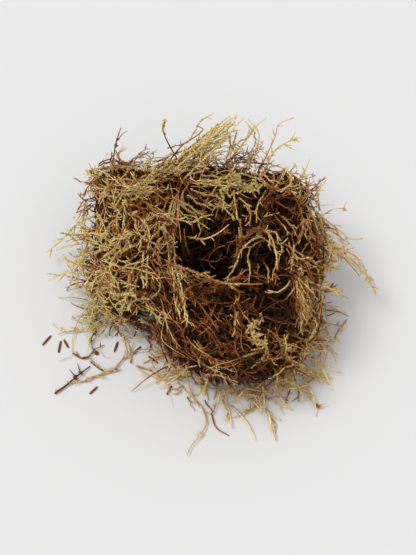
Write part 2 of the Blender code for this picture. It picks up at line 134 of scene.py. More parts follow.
def strandMaterial(name, roughness=mossColours["roughness"]):
    # The strand map holds the tint across, and the way from root to tip upwards
    material = bpy.data.materials.new(name)
    material.use_nodes = True
    tree = material.node_tree
    shader = tree.nodes["Principled BSDF"]
    start = Wire(tree)
    look = mossColours
    place = start.node("ShaderNodeUVMap", {"uv_map": "strand"}, {})
    tint = start.node("ShaderNodeSeparateXYZ", {}, {0: place}, out=0)
    along = start.node("ShaderNodeSeparateXYZ", {}, {0: place}, out=1)
    spread = start.node("ShaderNodeMapping", {}, {"Vector": place, "Scale": (*look["mottleGrain"], 1)})
    grain = start.node("ShaderNodeTexNoise", {"noise_dimensions": "2D"},
                       {"Vector": spread, "Scale": 1.0, "Detail": look["mottleDetail"]})
    shade = tint + (grain - 0.5) * look["mottle"]
    colour = start.node("ShaderNodeValToRGB", {"stops": look["stops"]}, {0: shade})
    # Darker at the root and paler at the tip: partly the moss's own colour, partly painted shade on the
    # buried root and a painted highlight on the tip
    light = 1 - look["rootDark"] + along * (look["rootDark"] + look["tipLight"])
    lit = start.node("ShaderNodeVectorMath", {"operation": "SCALE"}, {0: colour, "Scale": light})
    lit.feed(shader, "Base Color")
    shader.inputs["Roughness"].default_value = roughness
    shader.inputs["Specular IOR Level"].default_value = look["shine"]
    return material


def plainMaterial(name, colour, roughness):
    material = bpy.data.materials.new(name)
    material.use_nodes = True
    shader = material.node_tree.nodes["Principled BSDF"]
    shader.inputs["Base Color"].default_value = (*colour, 1)
    shader.inputs["Roughness"].default_value = roughness
    return material


studio = {"tableSize": 6000, "tableColour": (0.60, 0.60, 0.605), "tableRoughness": 0.8,
          "skyColour": (0.985, 0.99, 1.0), "skyStrength": 0.73,
          "keyFrom": (-760, 60, 1300), "keyAngle": 26, "keyPower": 1.74,
          "fillFrom": (150, -820, 860), "fillAngle": 60, "fillPower": 0.85,
          "keyColour": (1.0, 0.985, 0.96)}


def makeStudio():
    bm = bmesh.new()
    bmesh.ops.create_grid(bm, x_segments=1, y_segments=1, size=studio["tableSize"] * mm / 2)
    mesh = bpy.data.meshes.new("table")
    bm.to_mesh(mesh)
    bm.free()
    mesh.materials.append(plainMaterial("tableTop", studio["tableColour"], studio["tableRoughness"]))
    table = bpy.data.objects.new("table", mesh)
    bpy.context.scene.collection.objects.link(table)

    world = bpy.data.worlds.new("studio")
    world.use_nodes = True
    sky = world.node_tree.nodes["Background"]
    sky.inputs["Color"].default_value = (*studio["skyColour"], 1)
    sky.inputs["Strength"].default_value = studio["skyStrength"]
    bpy.context.scene.world = world

    for name in ("key", "fill"):
        data = bpy.data.lights.new(name, "SUN")
        data.angle = math.radians(studio[name + "Angle"])
        data.energy = studio[name + "Power"]
        data.color = studio["keyColour"]
        light = bpy.data.objects.new(name, data)
        light.location = Vector(studio[name + "From"]) * mm
        light.rotation_euler = (-light.location).to_track_quat("-Z", "Y").to_euler()
        bpy.context.scene.collection.objects.link(light)
    bpy.context.scene.view_settings.view_transform = "Standard"


makeCamera()
makeStudio()
print("stage: camera, table and lights")

# The mound's own surface, in millimetres, carries the strands.
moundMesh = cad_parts["moss_mound"].data
moundTree = BVHTree.FromPolygons([vertex.co / mm for vertex in moundMesh.vertices],
                                 [tuple(face.vertices) for face in moundMesh.polygons])
moundLow, moundHigh = [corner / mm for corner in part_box("moss_mound")]

strand = {
    "step": 2.2,                 # length of one straight piece of a strand
    "taper": 1.6,                # how late a strand thins towards its tip
    "mapWidth": 0.004,           # how wide a leaf or a stem is on the map of tints
    "mapTurn": 0.4,
    "offAxis": (0.31, 0.52, 0.79),    # a direction that no strand starts in
    "tableGap": 0.35, "lowest": 0.05,
    # darkest is the tint that painted shade pulls a strand's tint towards
    "darkest": 0.05,             # the tint of a strand in full gloom
}
leafHabit = {
    "perStep": 6, "sizes": (0.72, 1.2), "tipShrink": 0.45,
    "width": 0.55, "thickness": 0.14, "widest": 0.4,    # as shares of a leaf's length
    "angle": math.radians(30), "leans": (0.6, 1.45), "seat": 0.6,
    "firstTurn": (0, 6.3), "goldenAngle": math.radians(137.5), "turnScatter": 0.25,
    "tintScatter": 0.045,
}


def frames(paths):
    # Directions along and across every path, carried from root to tip without a twist
    along = np.gradient(paths, axis=1)
    along /= np.linalg.norm(along, axis=2, keepdims=True)
    across = np.empty_like(paths)
    aside = np.cross(along[:, 0], strand["offAxis"])
    across[:, 0] = aside / np.linalg.norm(aside, axis=1, keepdims=True)
    for number in range(1, paths.shape[1]):
        carried = across[:, number - 1]
        direction = along[:, number]
        carried = carried - direction * np.sum(carried * direction, axis=1, keepdims=True)
        across[:, number] = carried / np.linalg.norm(carried, axis=1, keepdims=True)
    return along, across, np.cross(along, across)


class Bundle:
    # The strands of one piece, grouped by their number of points
    def __init__(self, seed, sides=3):
        self.groups = {}
        self.sides = sides
        self.draw = np.random.default_rng(seed)
        self.vertices = []
        self.faces = []
        self.places = []
        self.count = 0

    def add(self, points, width, tip=0.4, leaf=0.0, tint=0.5, bare=0.0, span=(0.0, 1.0), gloom=1.0):
        # width is the stem's, tip the share of it left at the end, bare the leafless share, and
        # gloom how much of the painted shade of the place it takes on
        row = (np.array(points, float), width / 2, tip, leaf, tint, bare, span[0], span[1], gloom)
        self.groups.setdefault(len(points), []).append(row)

    def keep(self, vertices, faces, places):
        self.vertices.append(vertices)
        self.faces.append(faces + self.count)
        self.places.append(places)
        self.count += len(vertices)

    def sweep(self, paths, radii, tints, ways, sides):
        # Closed tubes along the paths
        strands, points, _ = paths.shape
        _, across, over = frames(paths)
        turn = 2 * math.pi * np.arange(sides) / sides
        ring = (np.cos(turn)[None, None, :, None] * across[:, :, None]
                + np.sin(turn)[None, None, :, None] * over[:, :, None])
        vertices = paths[:, :, None] + radii[:, :, None, None] * ring
        seen = turn + strand["mapTurn"]
        shift = strand["mapWidth"] * np.stack([np.cos(seen), np.sin(seen)], axis=1)
        places = np.stack(np.broadcast_arrays(tints[:, :, None] + shift[None, None, :, 0],
                                              ways[:, :, None] + shift[None, None, :, 1]), axis=3)
        near = np.arange(sides)
        far = (near + 1) % sides
        first = np.arange(points - 1)[:, None] * sides
        walls = np.stack([np.stack([first + near, first + far, first + sides + far], 2),
                          np.stack([first + near, first + sides + far, first + sides + near], 2)])
        fan = np.arange(1, sides - 1)
        end = (points - 1) * sides
        caps = np.concatenate([np.stack([0 * fan, fan + 1, fan], 1),
                               np.stack([0 * fan, fan, fan + 1], 1) + end])
        single = np.concatenate([walls.reshape(-1, 3), caps])
        faces = single[None] + (np.arange(strands) * points * sides)[:, None, None]
        self.keep(vertices.reshape(-1, 3), faces.reshape(-1, 3), places.reshape(-1, 2))

    def clothe(self, paths, radii, leaves, bares, tints, ways):
        # Small keeled leaves, spiralling up every path, tilted towards its tip
        strands, points, _ = paths.shape
        along, across, over = frames(paths)
        each = leafHabit["perStep"]
        share = (np.arange(each) + 0.5) / each
        share = np.tile(share, points - 1)
        step = np.repeat(np.arange(points - 1), each)
        number = np.arange(len(step))
        roots = paths[:, step] + (paths[:, step + 1] - paths[:, step]) * share[None, :, None]
        far = (step + share) / (points - 1)
        size = self.draw.uniform(*leafHabit["sizes"], (strands, len(step)))
        size = leaves[:, None] * size * (1 - leafHabit["tipShrink"] * far ** 3)
        turn = self.draw.uniform(*leafHabit["firstTurn"], (strands, 1))
        turn = turn + number * leafHabit["goldenAngle"]
        turn = turn + self.draw.normal(0, leafHabit["turnScatter"], turn.shape)
        out = np.cos(turn)[..., None] * across[:, step] + np.sin(turn)[..., None] * over[:, step]
        lean = leafHabit["angle"] * self.draw.uniform(*leafHabit["leans"], size.shape)[..., None]
        ahead = along[:, step]
        axis = np.cos(lean) * ahead + np.sin(lean) * out
        side = np.cross(ahead, out)
        back = np.cos(lean) * out - np.sin(lean) * ahead
        root = roots + out * (radii[:, step] * leafHabit["seat"])[..., None]
        middle = root + axis * (size * leafHabit["widest"])[..., None]
        middle = middle - back * (size * leafHabit["thickness"])[..., None]
        half = side * (size * leafHabit["width"] / 2)[..., None]
        tip = root + axis * size[..., None]
        vertices = np.stack([root, middle + half, middle - half, tip], axis=2)
        way = ways[:, :1] + (ways[:, -1:] - ways[:, :1]) * far[None]
        shift = strand["mapWidth"] * np.array([(0, 0), (-1, 1), (1, 1), (0, 2.2)])
        tint = tints[:, step] + self.draw.normal(0, leafHabit["tintScatter"], size.shape)
        places = np.stack([tint[..., None] + shift[:, 0], way[..., None] + shift[:, 1]], axis=3)
        wanted = (far[None] >= bares[:, None]) & (leaves[:, None] > 0)
        vertices = vertices[wanted]
        single = np.array([(0, 2, 1), (0, 3, 2), (0, 1, 3), (1, 2, 3)])
        faces = single[None] + (np.arange(len(vertices)) * 4)[:, None, None]
        self.keep(vertices.reshape(-1, 3), faces.reshape(-1, 3), places[wanted].reshape(-1, 2))

    def make(self, name, material, nodes=()):
        for points in sorted(self.groups):
            rows = self.groups[points]
            paths = np.array([row[0] for row in rows])
            radius, tip, leaf, tint, bare, low, high, gloom = np.array([row[1:] for row in rows]).T
            share = np.linspace(0, 1, points)[None]
            radii = radius[:, None] * (1 - (1 - tip[:, None]) * share ** strand["taper"])
            paths[:, :, 2] = np.maximum(paths[:, :, 2], radii + strand["tableGap"])
            ways = low[:, None] + (high - low)[:, None] * share
            # Painted shade: the tints darken towards the darkest in hollows and deep in the mound
            shade = paintedShadeAt(paths) * gloom[:, None]
            tints = tint[:, None] - (tint[:, None] - strand["darkest"]) * shade
            self.sweep(paths, radii, tints, ways, self.sides)
            if leaf.max() > 0:
                self.clothe(paths, radii, leaf, bare, tints, ways)
        vertices = np.concatenate(self.vertices)
        vertices[:, 2] = np.maximum(vertices[:, 2], strand["lowest"])
        faces = np.concatenate(self.faces)
        places = np.clip(np.concatenate(self.places), 0, 1)
        piece = meshPiece(name, vertices, faces, places, material)
        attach(piece, "root")
        if nodes:
            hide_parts(*nodes)
        print("piece:", name, len(faces), "triangles")


def meshPiece(name, vertices, faces, places, material):
    mesh = bpy.data.meshes.new(name)
    mesh.vertices.add(len(vertices))
    mesh.vertices.foreach_set("co", (vertices * mm).ravel())
    mesh.loops.add(faces.size)
    mesh.loops.foreach_set("vertex_index", faces.ravel())
    mesh.polygons.add(len(faces))
    mesh.polygons.foreach_set("loop_start", np.arange(0, faces.size, 3))
    mesh.update(calc_edges=True)
    corners = places[faces.ravel()]
    low = corners.min(0)
    stretched = (corners - low) / np.maximum(corners.max(0) - low, 1e-6)
    for layer, values in (("strand", corners), ("OFBake", stretched)):
        mesh.uv_layers.new(name=layer).data.foreach_set("uv", values.ravel())
    mesh.materials.append(material)
    piece = bpy.data.objects.new(name, mesh)
    bpy.context.scene.collection.objects.link(piece)
    return piece


def smoothRoute(points, step):
    # A Catmull-Rom curve through the points, read about every step
    knots = [np.array(point, float) for point in points]
    knots = [2 * knots[0] - knots[1], *knots, 2 * knots[-1] - knots[-2]]
    lengths = [np.linalg.norm(after - before) for before, after in zip(knots[1:-2], knots[2:-1])]
    count = max(3, round(sum(lengths) / step))
    marks = np.concatenate([[0], np.cumsum(lengths)])
    route = []
    for distance in np.linspace(0, marks[-1], count + 1):
        leg = min(int(np.searchsorted(marks, distance, side="right")) - 1, len(lengths) - 1)
        t = (distance - marks[leg]) / max(lengths[leg], 1e-6)
        before, start, end, after = knots[leg:leg + 4]
        bend = (2 * before - 5 * start + 4 * end - after) * t * t
        twist = (3 * start - before - 3 * end + after) * t * t * t
        route.append((2 * start + (end - before) * t + bend + twist) / 2)
    return np.array(route)


def unit(vector):
    return vector / max(np.linalg.norm(vector), 1e-9)


def placeOn(path, share):
    # The place at a share of a path, and its direction there
    spot = share * (len(path) - 1)
    leg = min(int(spot), len(path) - 2)
    step = path[leg + 1] - path[leg]
    return path[leg] + step * (spot - leg), unit(step)


def heightOver(place):
    # How far a place stands out of the mound, less than 0 inside it
    surface, normal, _, _ = moundTree.find_nearest(Vector(place))
    return (Vector(place) - surface).dot(normal)


# Angles are in degrees. A twig's length is a share of the one that its stem asks for.
twigGrowth = {"places": (0.2, 0.8), "angleScatter": 9, "scatter": 0.16, "lengths": (0.5, 1.15),
              "first": 1.12, "shorter": 0.55, "step": 2.1, "forward": 0.15, "curl": 0.2,
              "wiggle": 1.5, "paler": (0.03, 0.05), "span": (0.45, 1.0)}


def branch(bundle, stem, spec, draw, tint, share=(0.15, 0.97), plane=None, gloom=1.0):
    # Side twigs leave the stem to both sides in turn, shorter towards its tip, and bend forward
    length = np.sum(np.linalg.norm(np.diff(stem, axis=0), axis=1))
    grow = twigGrowth
    count = int(length * (share[1] - share[0]) / spec["twigEvery"])
    side = draw.choice([-1, 1])
    for number in range(count):
        place = share[0] + (share[1] - share[0]) * (number + draw.uniform(*grow["places"])) / count
        root, ahead = placeOn(stem, place)
        facing = plane if plane is not None else unit(draw.normal(0, 1, 3))
        sideways = unit(np.cross(ahead, facing)) * side
        side = -side
        angle = math.radians(draw.normal(spec["twigAngle"], grow["angleScatter"]))
        way = math.cos(angle) * ahead + math.sin(angle) * sideways
        way = unit(way + draw.normal(0, grow["scatter"], 3))
        twig = spec["twig"] * draw.uniform(*grow["lengths"]) * (grow["first"] - grow["shorter"] * place)
        steps = max(2, round(twig / grow["step"]))
        curl = grow["forward"] * ahead + draw.normal(0, grow["curl"], 3)
        points = [root]
        for _ in range(steps):
            points.append(points[-1] + way * twig / steps)
            way = unit(way + curl + draw.normal(0, grow["wiggle"] * spec["wiggle"], 3))
        bundle.add(points, spec["twigWidth"], leaf=spec["twigLeaf"],
                   tint=tint + draw.normal(*grow["paler"]), span=grow["span"], gloom=gloom)


# How a strand holds on to the mound: its waves, and how fast it turns back to its own depth.
creep = {"waves": (2, 5), "hold": (0.12, 0.5), "pull": 0.16, "steepest": (-0.7, 0.5)}


def wander(start, heading, length, depth, spec, draw):
    # A strand that creeps over the mound, weaving in and out of it, and runs on past its edges
    surface, normal, _, _ = moundTree.find_nearest(Vector(start))
    place = surface + normal * depth
    heading = Vector(heading)
    heading = (heading - normal * heading.dot(normal)).normalized()
    count = max(3, round(length / strand["step"])) + 1
    swing = draw.uniform(0, 2 * math.pi)
    waves = draw.uniform(*creep["waves"])
    lift = draw.uniform(*spec["lift"])
    bend = draw.normal(0, spec["bend"])
    hold = draw.uniform(*creep["hold"])
    down, rise = creep["steepest"]
    points = []
    for number in range(count):
        points.append(np.array(place))
        share = number / (count - 1)
        surface, normal, _, _ = moundTree.find_nearest(place)
        aim = depth + spec["weave"] * math.sin(swing + waves * share) + lift * share ** 3
        gap = aim - (place - surface).dot(normal)
        wanted = min(max(gap * creep["pull"], down), rise)
        heading += normal * (hold * (wanted - heading.dot(normal)))
        heading += normal.cross(heading) * (bend + draw.normal(0, spec["stray"]))
        heading.normalize()
        place = place + heading * strand["step"]
    points = np.array(points)
    points[1:-1] = (points[:-2] + 2 * points[1:-1] + points[2:]) / 4
    return points


undersideSlope = -0.75    # faces that look further down than this carry no strands


def spreadPlaces(count, draw):
    # Places on the mound, spread evenly over all but its underside, and the area they share
    corners = np.array([[moundMesh.vertices[index].co / mm for index in face.vertices]
                        for face in moundMesh.polygons if len(face.vertices) == 3])
    cross = np.cross(corners[:, 1] - corners[:, 0], corners[:, 2] - corners[:, 0])
    areas = np.linalg.norm(cross, axis=1) / 2
    normals = cross / (2 * areas[:, None] + 1e-9)
    chance = areas * (normals[:, 2] > undersideSlope)
    chosen = draw.choice(len(areas), count, p=chance / chance.sum())
    first, second = draw.uniform(0, 1, (2, count, 1))
    fold = first + second > 1
    first, second = np.where(fold, 1 - first, first), np.where(fold, 1 - second, second)
    base = corners[chosen, 0]
    places = base + first * (corners[chosen, 1] - base) + second * (corners[chosen, 2] - base)
    return places, normals[chosen], chance.sum()


# Places named across and up are those of the solids: millimetres on a plane through the target,
# square to the camera's line of sight. A place's height is over the table.
def sightThrough(across, up):
    return (target + Vector((across, 0, 0)) + viewUp * up - eye).normalized()


def onPlane(across, up, height):
    sight = sightThrough(across, up)
    return eye + sight * ((height - eye.z) / sight.z)


def onMound(across, up, lift):
    hit, normal, _, _ = moundTree.ray_cast(eye, sightThrough(across, up))
    return None if hit is None else hit + normal * lift


tableReach = 6
shootGap = 1.5


def inFront(across, up, height):
    # A place at its height, or just over the mound where the mound would hide it
    free = onPlane(across, up, height)
    laid = onMound(across, up, shootGap)
    if laid is None or height < tableReach or (free - eye).length < (laid - eye).length:
        return free
    return laid


def rooted(across, up, height):
    # Where a shoot comes out of the tangle
    laid = onMound(across, up, 0)
    if laid is None or height < tableReach:
        laid = moundTree.find_nearest(onPlane(across, up, height))[0]
    return laid


# Hollows between the strands, as seen in the photograph, where strands are left out and painted shade
# darkens the rest: across, up, radius, depth of the painted shade
hollows = [
    (-5, 8, 20, 1.0), (8, 7, 20, 1.0), (36, 38, 11, 0.8), (4, 27, 12, 0.75), (-7, 40, 8, 0.6),
    (32, 14, 15, 1.0), (26, -13, 17, 1.0), (40, -19, 15, 1.0), (-20, 55, 7, 0.8), (37, 48, 10, 0.85),
    (47, 44, 10, 0.75), (62, 21, 8, 0.7), (-43, 8, 6, 0.7), (-56, -3, 5, 0.65), (-43, -7, 5, 0.6),
    (29, 36, 9, 0.8), (5, -14, 9, 0.75), (10, -36, 10, 0.7), (35, -45, 9, 0.65), (-10, -30, 8, 0.6),
    (50, -33, 7, 0.6), (-42, 37, 5, 0.75), (-56, 64, 5, 0.85), (-30, 26, 5, 0.6), (-45, 6, 5, 0.6),
    (-19, 23, 6, 0.8), (-68, 30, 4, 0.6), (-30, -8, 6, 0.6), (-4, -26, 8, 0.6), (22, -30, 8, 0.6),
    (-14, -38, 7, 0.5), (45, 3, 9, 0.85), (52, 32, 8, 0.7), (-7, -8, 10, 0.85), (8, -10, 10, 0.8),
    (19, -9, 9, 0.85),
]
hollowHearts = [(np.array(onMound(across, up, -2)), radius, depth)
                for across, up, radius, depth in hollows]


def hollowShade(places):
    # How deep in the shade of a hollow places are: the share of painted shade there, which also leaves
    # strands out
    shade = np.zeros(places.shape[:-1])
    for heart, radius, depth in hollowHearts:
        distance = np.linalg.norm(places - heart, axis=-1)
        shade = np.maximum(shade, depth * np.exp(-(distance / radius) ** 4))
    return shade


# Painted shade by depth under the face of the mound
paintedDepthShade = {"start": -1.5, "over": 5.0, "most": 0.92}    # by depth under the face of the mound


def paintedShadeAt(places):
    # Painted shade: strands darken in the hollows and with their depth in the mound
    heights = np.array([heightOver(place) for place in places.reshape(-1, 3)])
    depths = -heights.reshape(places.shape[:-1])
    buried = np.clip((depths - paintedDepthShade["start"]) / paintedDepthShade["over"], 0, 1)
    return 1 - (1 - hollowShade(places)) * (1 - paintedDepthShade["most"] * buried)


# Where the regions of the tangle end. Low down, the back reaches further forward between the sides.
regionEdges = {"back": 44, "backFoot": (20, 45, 70), "left": -34, "right": 40, "front": -42}


def regionOf(place):
    # The photograph shows other colours and another lie of the strands in each
    x, y, z = place
    behind, low, aside = regionEdges["backFoot"]
    if y > regionEdges["back"] or (y > behind and z < low and abs(x) < aside):
        return "back"
    if x < regionEdges["left"]:
        return "left"
    if x > regionEdges["right"]:
        return "right"
    if y < regionEdges["front"]:
        return "front"
    return "top"


# Airy places of the mound, where few strands or none cover the table
airy = {
    "opening": (-39, -26.5, 5.0),    # across, up and radius
    "undercut": (-32, -20, -17),     # left of, in front of, and lower in the photograph than these
    "foot": (17, -40),               # lower and further in front than these
    "ahead": -46, "aheadLeft": -42,  # lower in the photograph than these, right and left of aheadFrom
    "aheadFrom": -5,
    "leftEdge": -68, "ragged": 10, "raggedBy": 7.3,
    "deepInFoot": 5,                 # stems deeper than this in the mound stay at the foot
    "upBy": (0.82, 0.57),            # how far y and z lift a place in the photograph
}
# The share of strands left out at the thin edges, and where each edge starts: x, y or z
thinEdges = {
    "left": (0.55, -57), "leftFront": (0.78, 40), "farLeft": (0.88, -68, 55),
    "rear": (0.7, 60, 32), "upperRight": (0.75, 48, 44),
    "opening": 0.95, "foot": 0.9, "ahead": 0.9,
}
openingHeart = np.array(onMound(*airy["opening"][:2], 0))
openingWay = np.array(onPlane(*airy["opening"][:2], 0)) - openingHeart
openingWay = openingWay / np.linalg.norm(openingWay)


def seenUp(place):
    # How high in the photograph a place stands
    back, high = airy["upBy"]
    return back * place[1] + high * place[2]


def isOpen(place):
    left, front, low = airy["undercut"]
    aside = np.linalg.norm(np.cross(np.array(place) - openingHeart, openingWay))
    return aside < airy["opening"][2] or (place[0] < left and place[1] < front and seenUp(place) < low)


def isFoot(place):
    return place[2] < airy["foot"][0] and place[1] < airy["foot"][1]


def isAhead(place):
    return seenUp(place) < airy["aheadLeft" if place[0] < airy["aheadFrom"] else "ahead"]


def trimmed(points, reach, footHeight=-1):
    # A strand ends where it would stand further than its reach off the mound, or at an airy place,
    # and the strands of the left edge end unevenly
    edge = airy["leftEdge"] - airy["ragged"] * (points[0][1] * airy["raggedBy"] % 1)
    for number, point in enumerate(points):
        isLow = isOpen(point) or (isFoot(point) and point[2] < footHeight)
        isOut = heightOver(point) > reach
        if (number > 3 and (isLow or isOut or point[0] < edge)) or (number > 2 and isAhead(point)):
            return points[:number]
    return points


def thinned(place):
    # The share of strands left out at a place
    x, y, z = place
    thin = thinEdges
    leftShare, left = thin["left"]
    frontShare, front = thin["leftFront"]
    farShare, farLeft, farTop = thin["farLeft"]
    rearShare, rear, rearFoot = thin["rear"]
    cornerShare, cornerSide, cornerBack = thin["upperRight"]
    return max(thin["opening"] * isOpen(place), thin["foot"] * isFoot(place),
               thin["ahead"] * isAhead(place), leftShare * (x < left),
               frontShare * (x < left and y < front), farShare * (x < farLeft and z < farTop),
               rearShare * (y > rear and z > rearFoot),
               cornerShare * (x > cornerSide and y > cornerBack))


def isUnder(point, inset):
    # Deep enough in the mound, and not at an airy place
    height = heightOver(point)
    isEdge = isOpen(point) or ((isAhead(point) or isFoot(point)) and height > -airy["deepInFoot"])
    return height < -inset and not isEdge


# Each region of the tangle has a strand for every so many square millimetres. The moods are shares
# of its strands with the middle and the spread of their tints.
tangle = {
    "left": {"perStrand": 37, "length": (10, 32), "leaf": 1.15, "width": 0.75, "gloom": 0.55,
        "moods": ((0.56, 0.74, 0.05), (0.19, 0.85, 0.03), (0.17, 0.55, 0.06), (0.08, 0.33, 0.06)),
        "depth": (-7, 4.5), "lift": (0, 9), "weave": 1.8, "bend": 0.13, "stray": 0.17,
        "heading": (-0.3, -0.5, -0.8), "scatter": 0.75, "twig": 7.0, "twigEvery": 3.8, "twigAngle": 38,
        "twigWidth": 0.55, "twigLeaf": 0.95, "wiggle": 0.13},
    "top": {"perStrand": 70, "length": (16, 44), "leaf": 1.4, "width": 0.9,
        "moods": ((0.47, 0.69, 0.06), (0.06, 0.84, 0.04), (0.32, 0.4, 0.06), (0.15, 0.22, 0.05)),
        "depth": (-11, 4.0), "lift": (-2, 9), "weave": 2.2, "bend": 0.11, "stray": 0.14,
        "heading": (0.8, -0.6, 0), "twig": 9.0, "twigEvery": 4.6, "twigAngle": 34, "twigWidth": 0.75,
        "twigLeaf": 1.15, "wiggle": 0.11},
    "right": {"perStrand": 70, "length": (18, 44), "leaf": 1.3, "width": 0.9,
        "moods": ((0.29, 0.64, 0.06), (0.04, 0.84, 0.04), (0.45, 0.41, 0.05), (0.22, 0.24, 0.05)),
        "depth": (-11, 3.5), "lift": (-1, 8), "weave": 2.2, "bend": 0.08, "stray": 0.1,
        "heading": (0.75, -0.55, -0.5), "twig": 9.5, "twigEvery": 5.0, "twigAngle": 28,
        "twigWidth": 0.7, "twigLeaf": 1.1, "wiggle": 0.09},
    # The front's darker moods are partly painted shade on the front face of the mound
    "front": {"perStrand": 50, "length": (16, 40), "leaf": 0.7, "width": 0.85,
        "moods": ((0.16, 0.58, 0.05), (0.03, 0.84, 0.04), (0.46, 0.36, 0.05), (0.35, 0.23, 0.05)),
        "depth": (-11, 2.5), "lift": (-2, 6), "weave": 2.4, "bend": 0.08, "stray": 0.12,
        "heading": (0.5, -0.2, -1), "twig": 9.0, "twigEvery": 5.4, "twigAngle": 36, "twigWidth": 0.75,
        "twigLeaf": 0.9, "wiggle": 0.1},
    "back": {"perStrand": 68, "length": (16, 40), "leaf": 1.2, "width": 0.9,
        "moods": ((0.6, 0.68, 0.06), (0.1, 0.88, 0.04), (0.2, 0.38, 0.06), (0.1, 0.2, 0.05)),
        "depth": (-10, 2.5), "lift": (-1, 8), "weave": 2.2, "bend": 0.11, "stray": 0.14,
        "heading": None, "twig": 8.5, "twigEvery": 5.0, "twigAngle": 36, "twigWidth": 0.7,
        "twigLeaf": 1.1, "wiggle": 0.11},
}


def drawTint(moods, draw, darkest=0.06, freshest=0.97):
    pick = draw.uniform()
    for share, middle, spread in moods:
        if pick < share:
            break
        pick -= share
    return float(np.clip(draw.normal(middle, spread), darkest, freshest))


# How the strands of every region are laid. Scatter is for the regions that name none of their own.
laying = {
    "places": 6000, "hollow": 0.92, "scatter": 0.45, "reach": (7, 14), "footHeights": [-1, 8, 12, 15],
    "leafy": [0, 1, 1, 1, 1, 1], "widths": (0.8, 1.25), "bare": (0, 0.2),
    "steep": 0.95, "asideOf": (0.3, 0.8, 0.5),    # a strand that would stand up is laid aside
}


def isSteep(heading, normal):
    # Whether a heading points so far out of the mound, or into it, that no strand can follow it
    return abs(np.dot(unit(heading), normal)) > laying["steep"]


def makeTangle(material):
    draw = np.random.default_rng(11)
    places, normals, area = spreadPlaces(laying["places"], draw)
    owned = {name: [] for name in tangle}
    for number, place in enumerate(places):
        owned[regionOf(place)].append(number)
    for number, (name, spec) in enumerate(tangle.items()):
        bundle = Bundle(20 + number)
        share = area / len(places)
        wanted = int(len(owned[name]) * share / spec["perStrand"])
        for index in owned[name][:wanted]:
            place, normal = places[index], normals[index]
            if draw.uniform() < max(laying["hollow"] * hollowShade(place), thinned(place)):
                continue
            heading = draw.normal(0, 1, 3)
            if spec["heading"]:
                lean = np.array(spec["heading"]) * draw.choice([-1, 1])
                heading = lean + heading * spec.get("scatter", laying["scatter"])
            if isSteep(heading, normal):
                heading = np.cross(normal, laying["asideOf"])
            depth = draw.uniform(*spec["depth"])
            length = draw.uniform(*spec["length"])
            points = wander(place, heading, length, depth, spec, draw)
            points = trimmed(points, draw.uniform(*laying["reach"]),
                             footHeight=draw.choice(laying["footHeights"]))
            tint = drawTint(spec["moods"], draw)
            leaf = spec["leaf"] * draw.choice(laying["leafy"])
            bundle.add(points, spec["width"] * draw.uniform(*laying["widths"]), leaf=leaf, tint=tint,
                       bare=draw.uniform(*laying["bare"]), gloom=spec.get("gloom", 1.0))
            branch(bundle, points, spec, draw, tint, plane=normal, gloom=spec.get("gloom", 1.0))
        bundle.make(name + "Tangle", material, ["moss_mound"])


# Long thin stems that have lost their leaves, rust and orange, laid over the face in bows
bareStems = {"count": 520, "length": (14, 46), "depth": (-4, 4), "width": 0.52, "weave": 2.5,
             "lift": (-1, 9), "bend": 0.13, "stray": 0.12, "gloom": 0.9, "widths": (0.8, 1.3),
             "reach": (8, 15), "footHeight": 6,
             "moods": ((0.34, 0.54, 0.04), (0.36, 0.43, 0.04), (0.16, 0.68, 0.04), (0.14, 0.30, 0.05))}


def makeBareStems(material):
    draw = np.random.default_rng(17)
    bundle = Bundle(18)
    places, normals, _ = spreadPlaces(bareStems["count"], draw)
    for place, normal in zip(places, normals):
        heading = draw.normal(0, 1, 3)
        hidden = max(hollowShade(place), thinned(place))
        if draw.uniform() < hidden or isSteep(heading, normal):
            continue
        points = wander(place, heading, draw.uniform(*bareStems["length"]),
                        draw.uniform(*bareStems["depth"]), bareStems, draw)
        points = trimmed(points, draw.uniform(*bareStems["reach"]), bareStems["footHeight"])
        bundle.add(points, bareStems["width"] * draw.uniform(*bareStems["widths"]),
                   tint=drawTint(bareStems["moods"], draw), gloom=bareStems["gloom"])
    bundle.make("bareStems", material, ["moss_mound"])


# Short shoots that stand out of the mound all over, thickest on its left
sprigs = {"count": 1050, "length": (6, 17), "width": 0.9, "leaf": 1.25, "twig": 5.5, "twigEvery": 3.4,
          "twigAngle": 40, "twigWidth": 0.65, "twigLeaf": 1.05, "wiggle": 0.13, "outward": 0.75,
          "upward": (0, 0, 0.2), "scatter": 0.5, "curl": 0.16, "waver": 0.1, "root": 3,
          "widths": (0.7, 1.15), "span": (0.3, 1.0), "twigSpan": (0.3, 0.95), "leftShare": 1.0,
          "otherShare": 0.25, "leftKept": 0.35}


def makeSprigs(material):
    draw = np.random.default_rng(14)
    bundle = Bundle(15)
    places, normals, _ = spreadPlaces(sprigs["count"], draw)
    for place, normal in zip(places, normals):
        isLeft = regionOf(place) == "left"
        kept = sprigs["leftShare"] if isLeft else sprigs["otherShare"]
        missing = thinned(place) * (sprigs["leftKept"] if isLeft and not isOpen(place) else 1)
        if draw.uniform() > kept or draw.uniform() < max(hollowShade(place), missing):
            continue
        tint = drawTint(tangle[regionOf(place)]["moods"], draw)
        way = normal * sprigs["outward"] + draw.normal(0, sprigs["scatter"], 3)
        way = unit(way + sprigs["upward"])
        length = draw.uniform(*sprigs["length"])
        bend = draw.normal(0, sprigs["curl"], 3)
        points = [place - normal * sprigs["root"]]
        for _ in range(max(3, round(length / strand["step"])) + 1):
            points.append(points[-1] + way * strand["step"])
            way = unit(way + bend + draw.normal(0, sprigs["waver"], 3))
        points = np.array(points)
        bundle.add(points, sprigs["width"] * draw.uniform(*sprigs["widths"]), leaf=sprigs["leaf"],
                   tint=tint, span=sprigs["span"])
        branch(bundle, points, sprigs, draw, tint, share=sprigs["twigSpan"],
               plane=unit(draw.normal(0, 1, 3)))
    bundle.make("standingSprigs", material, ["moss_mound"])
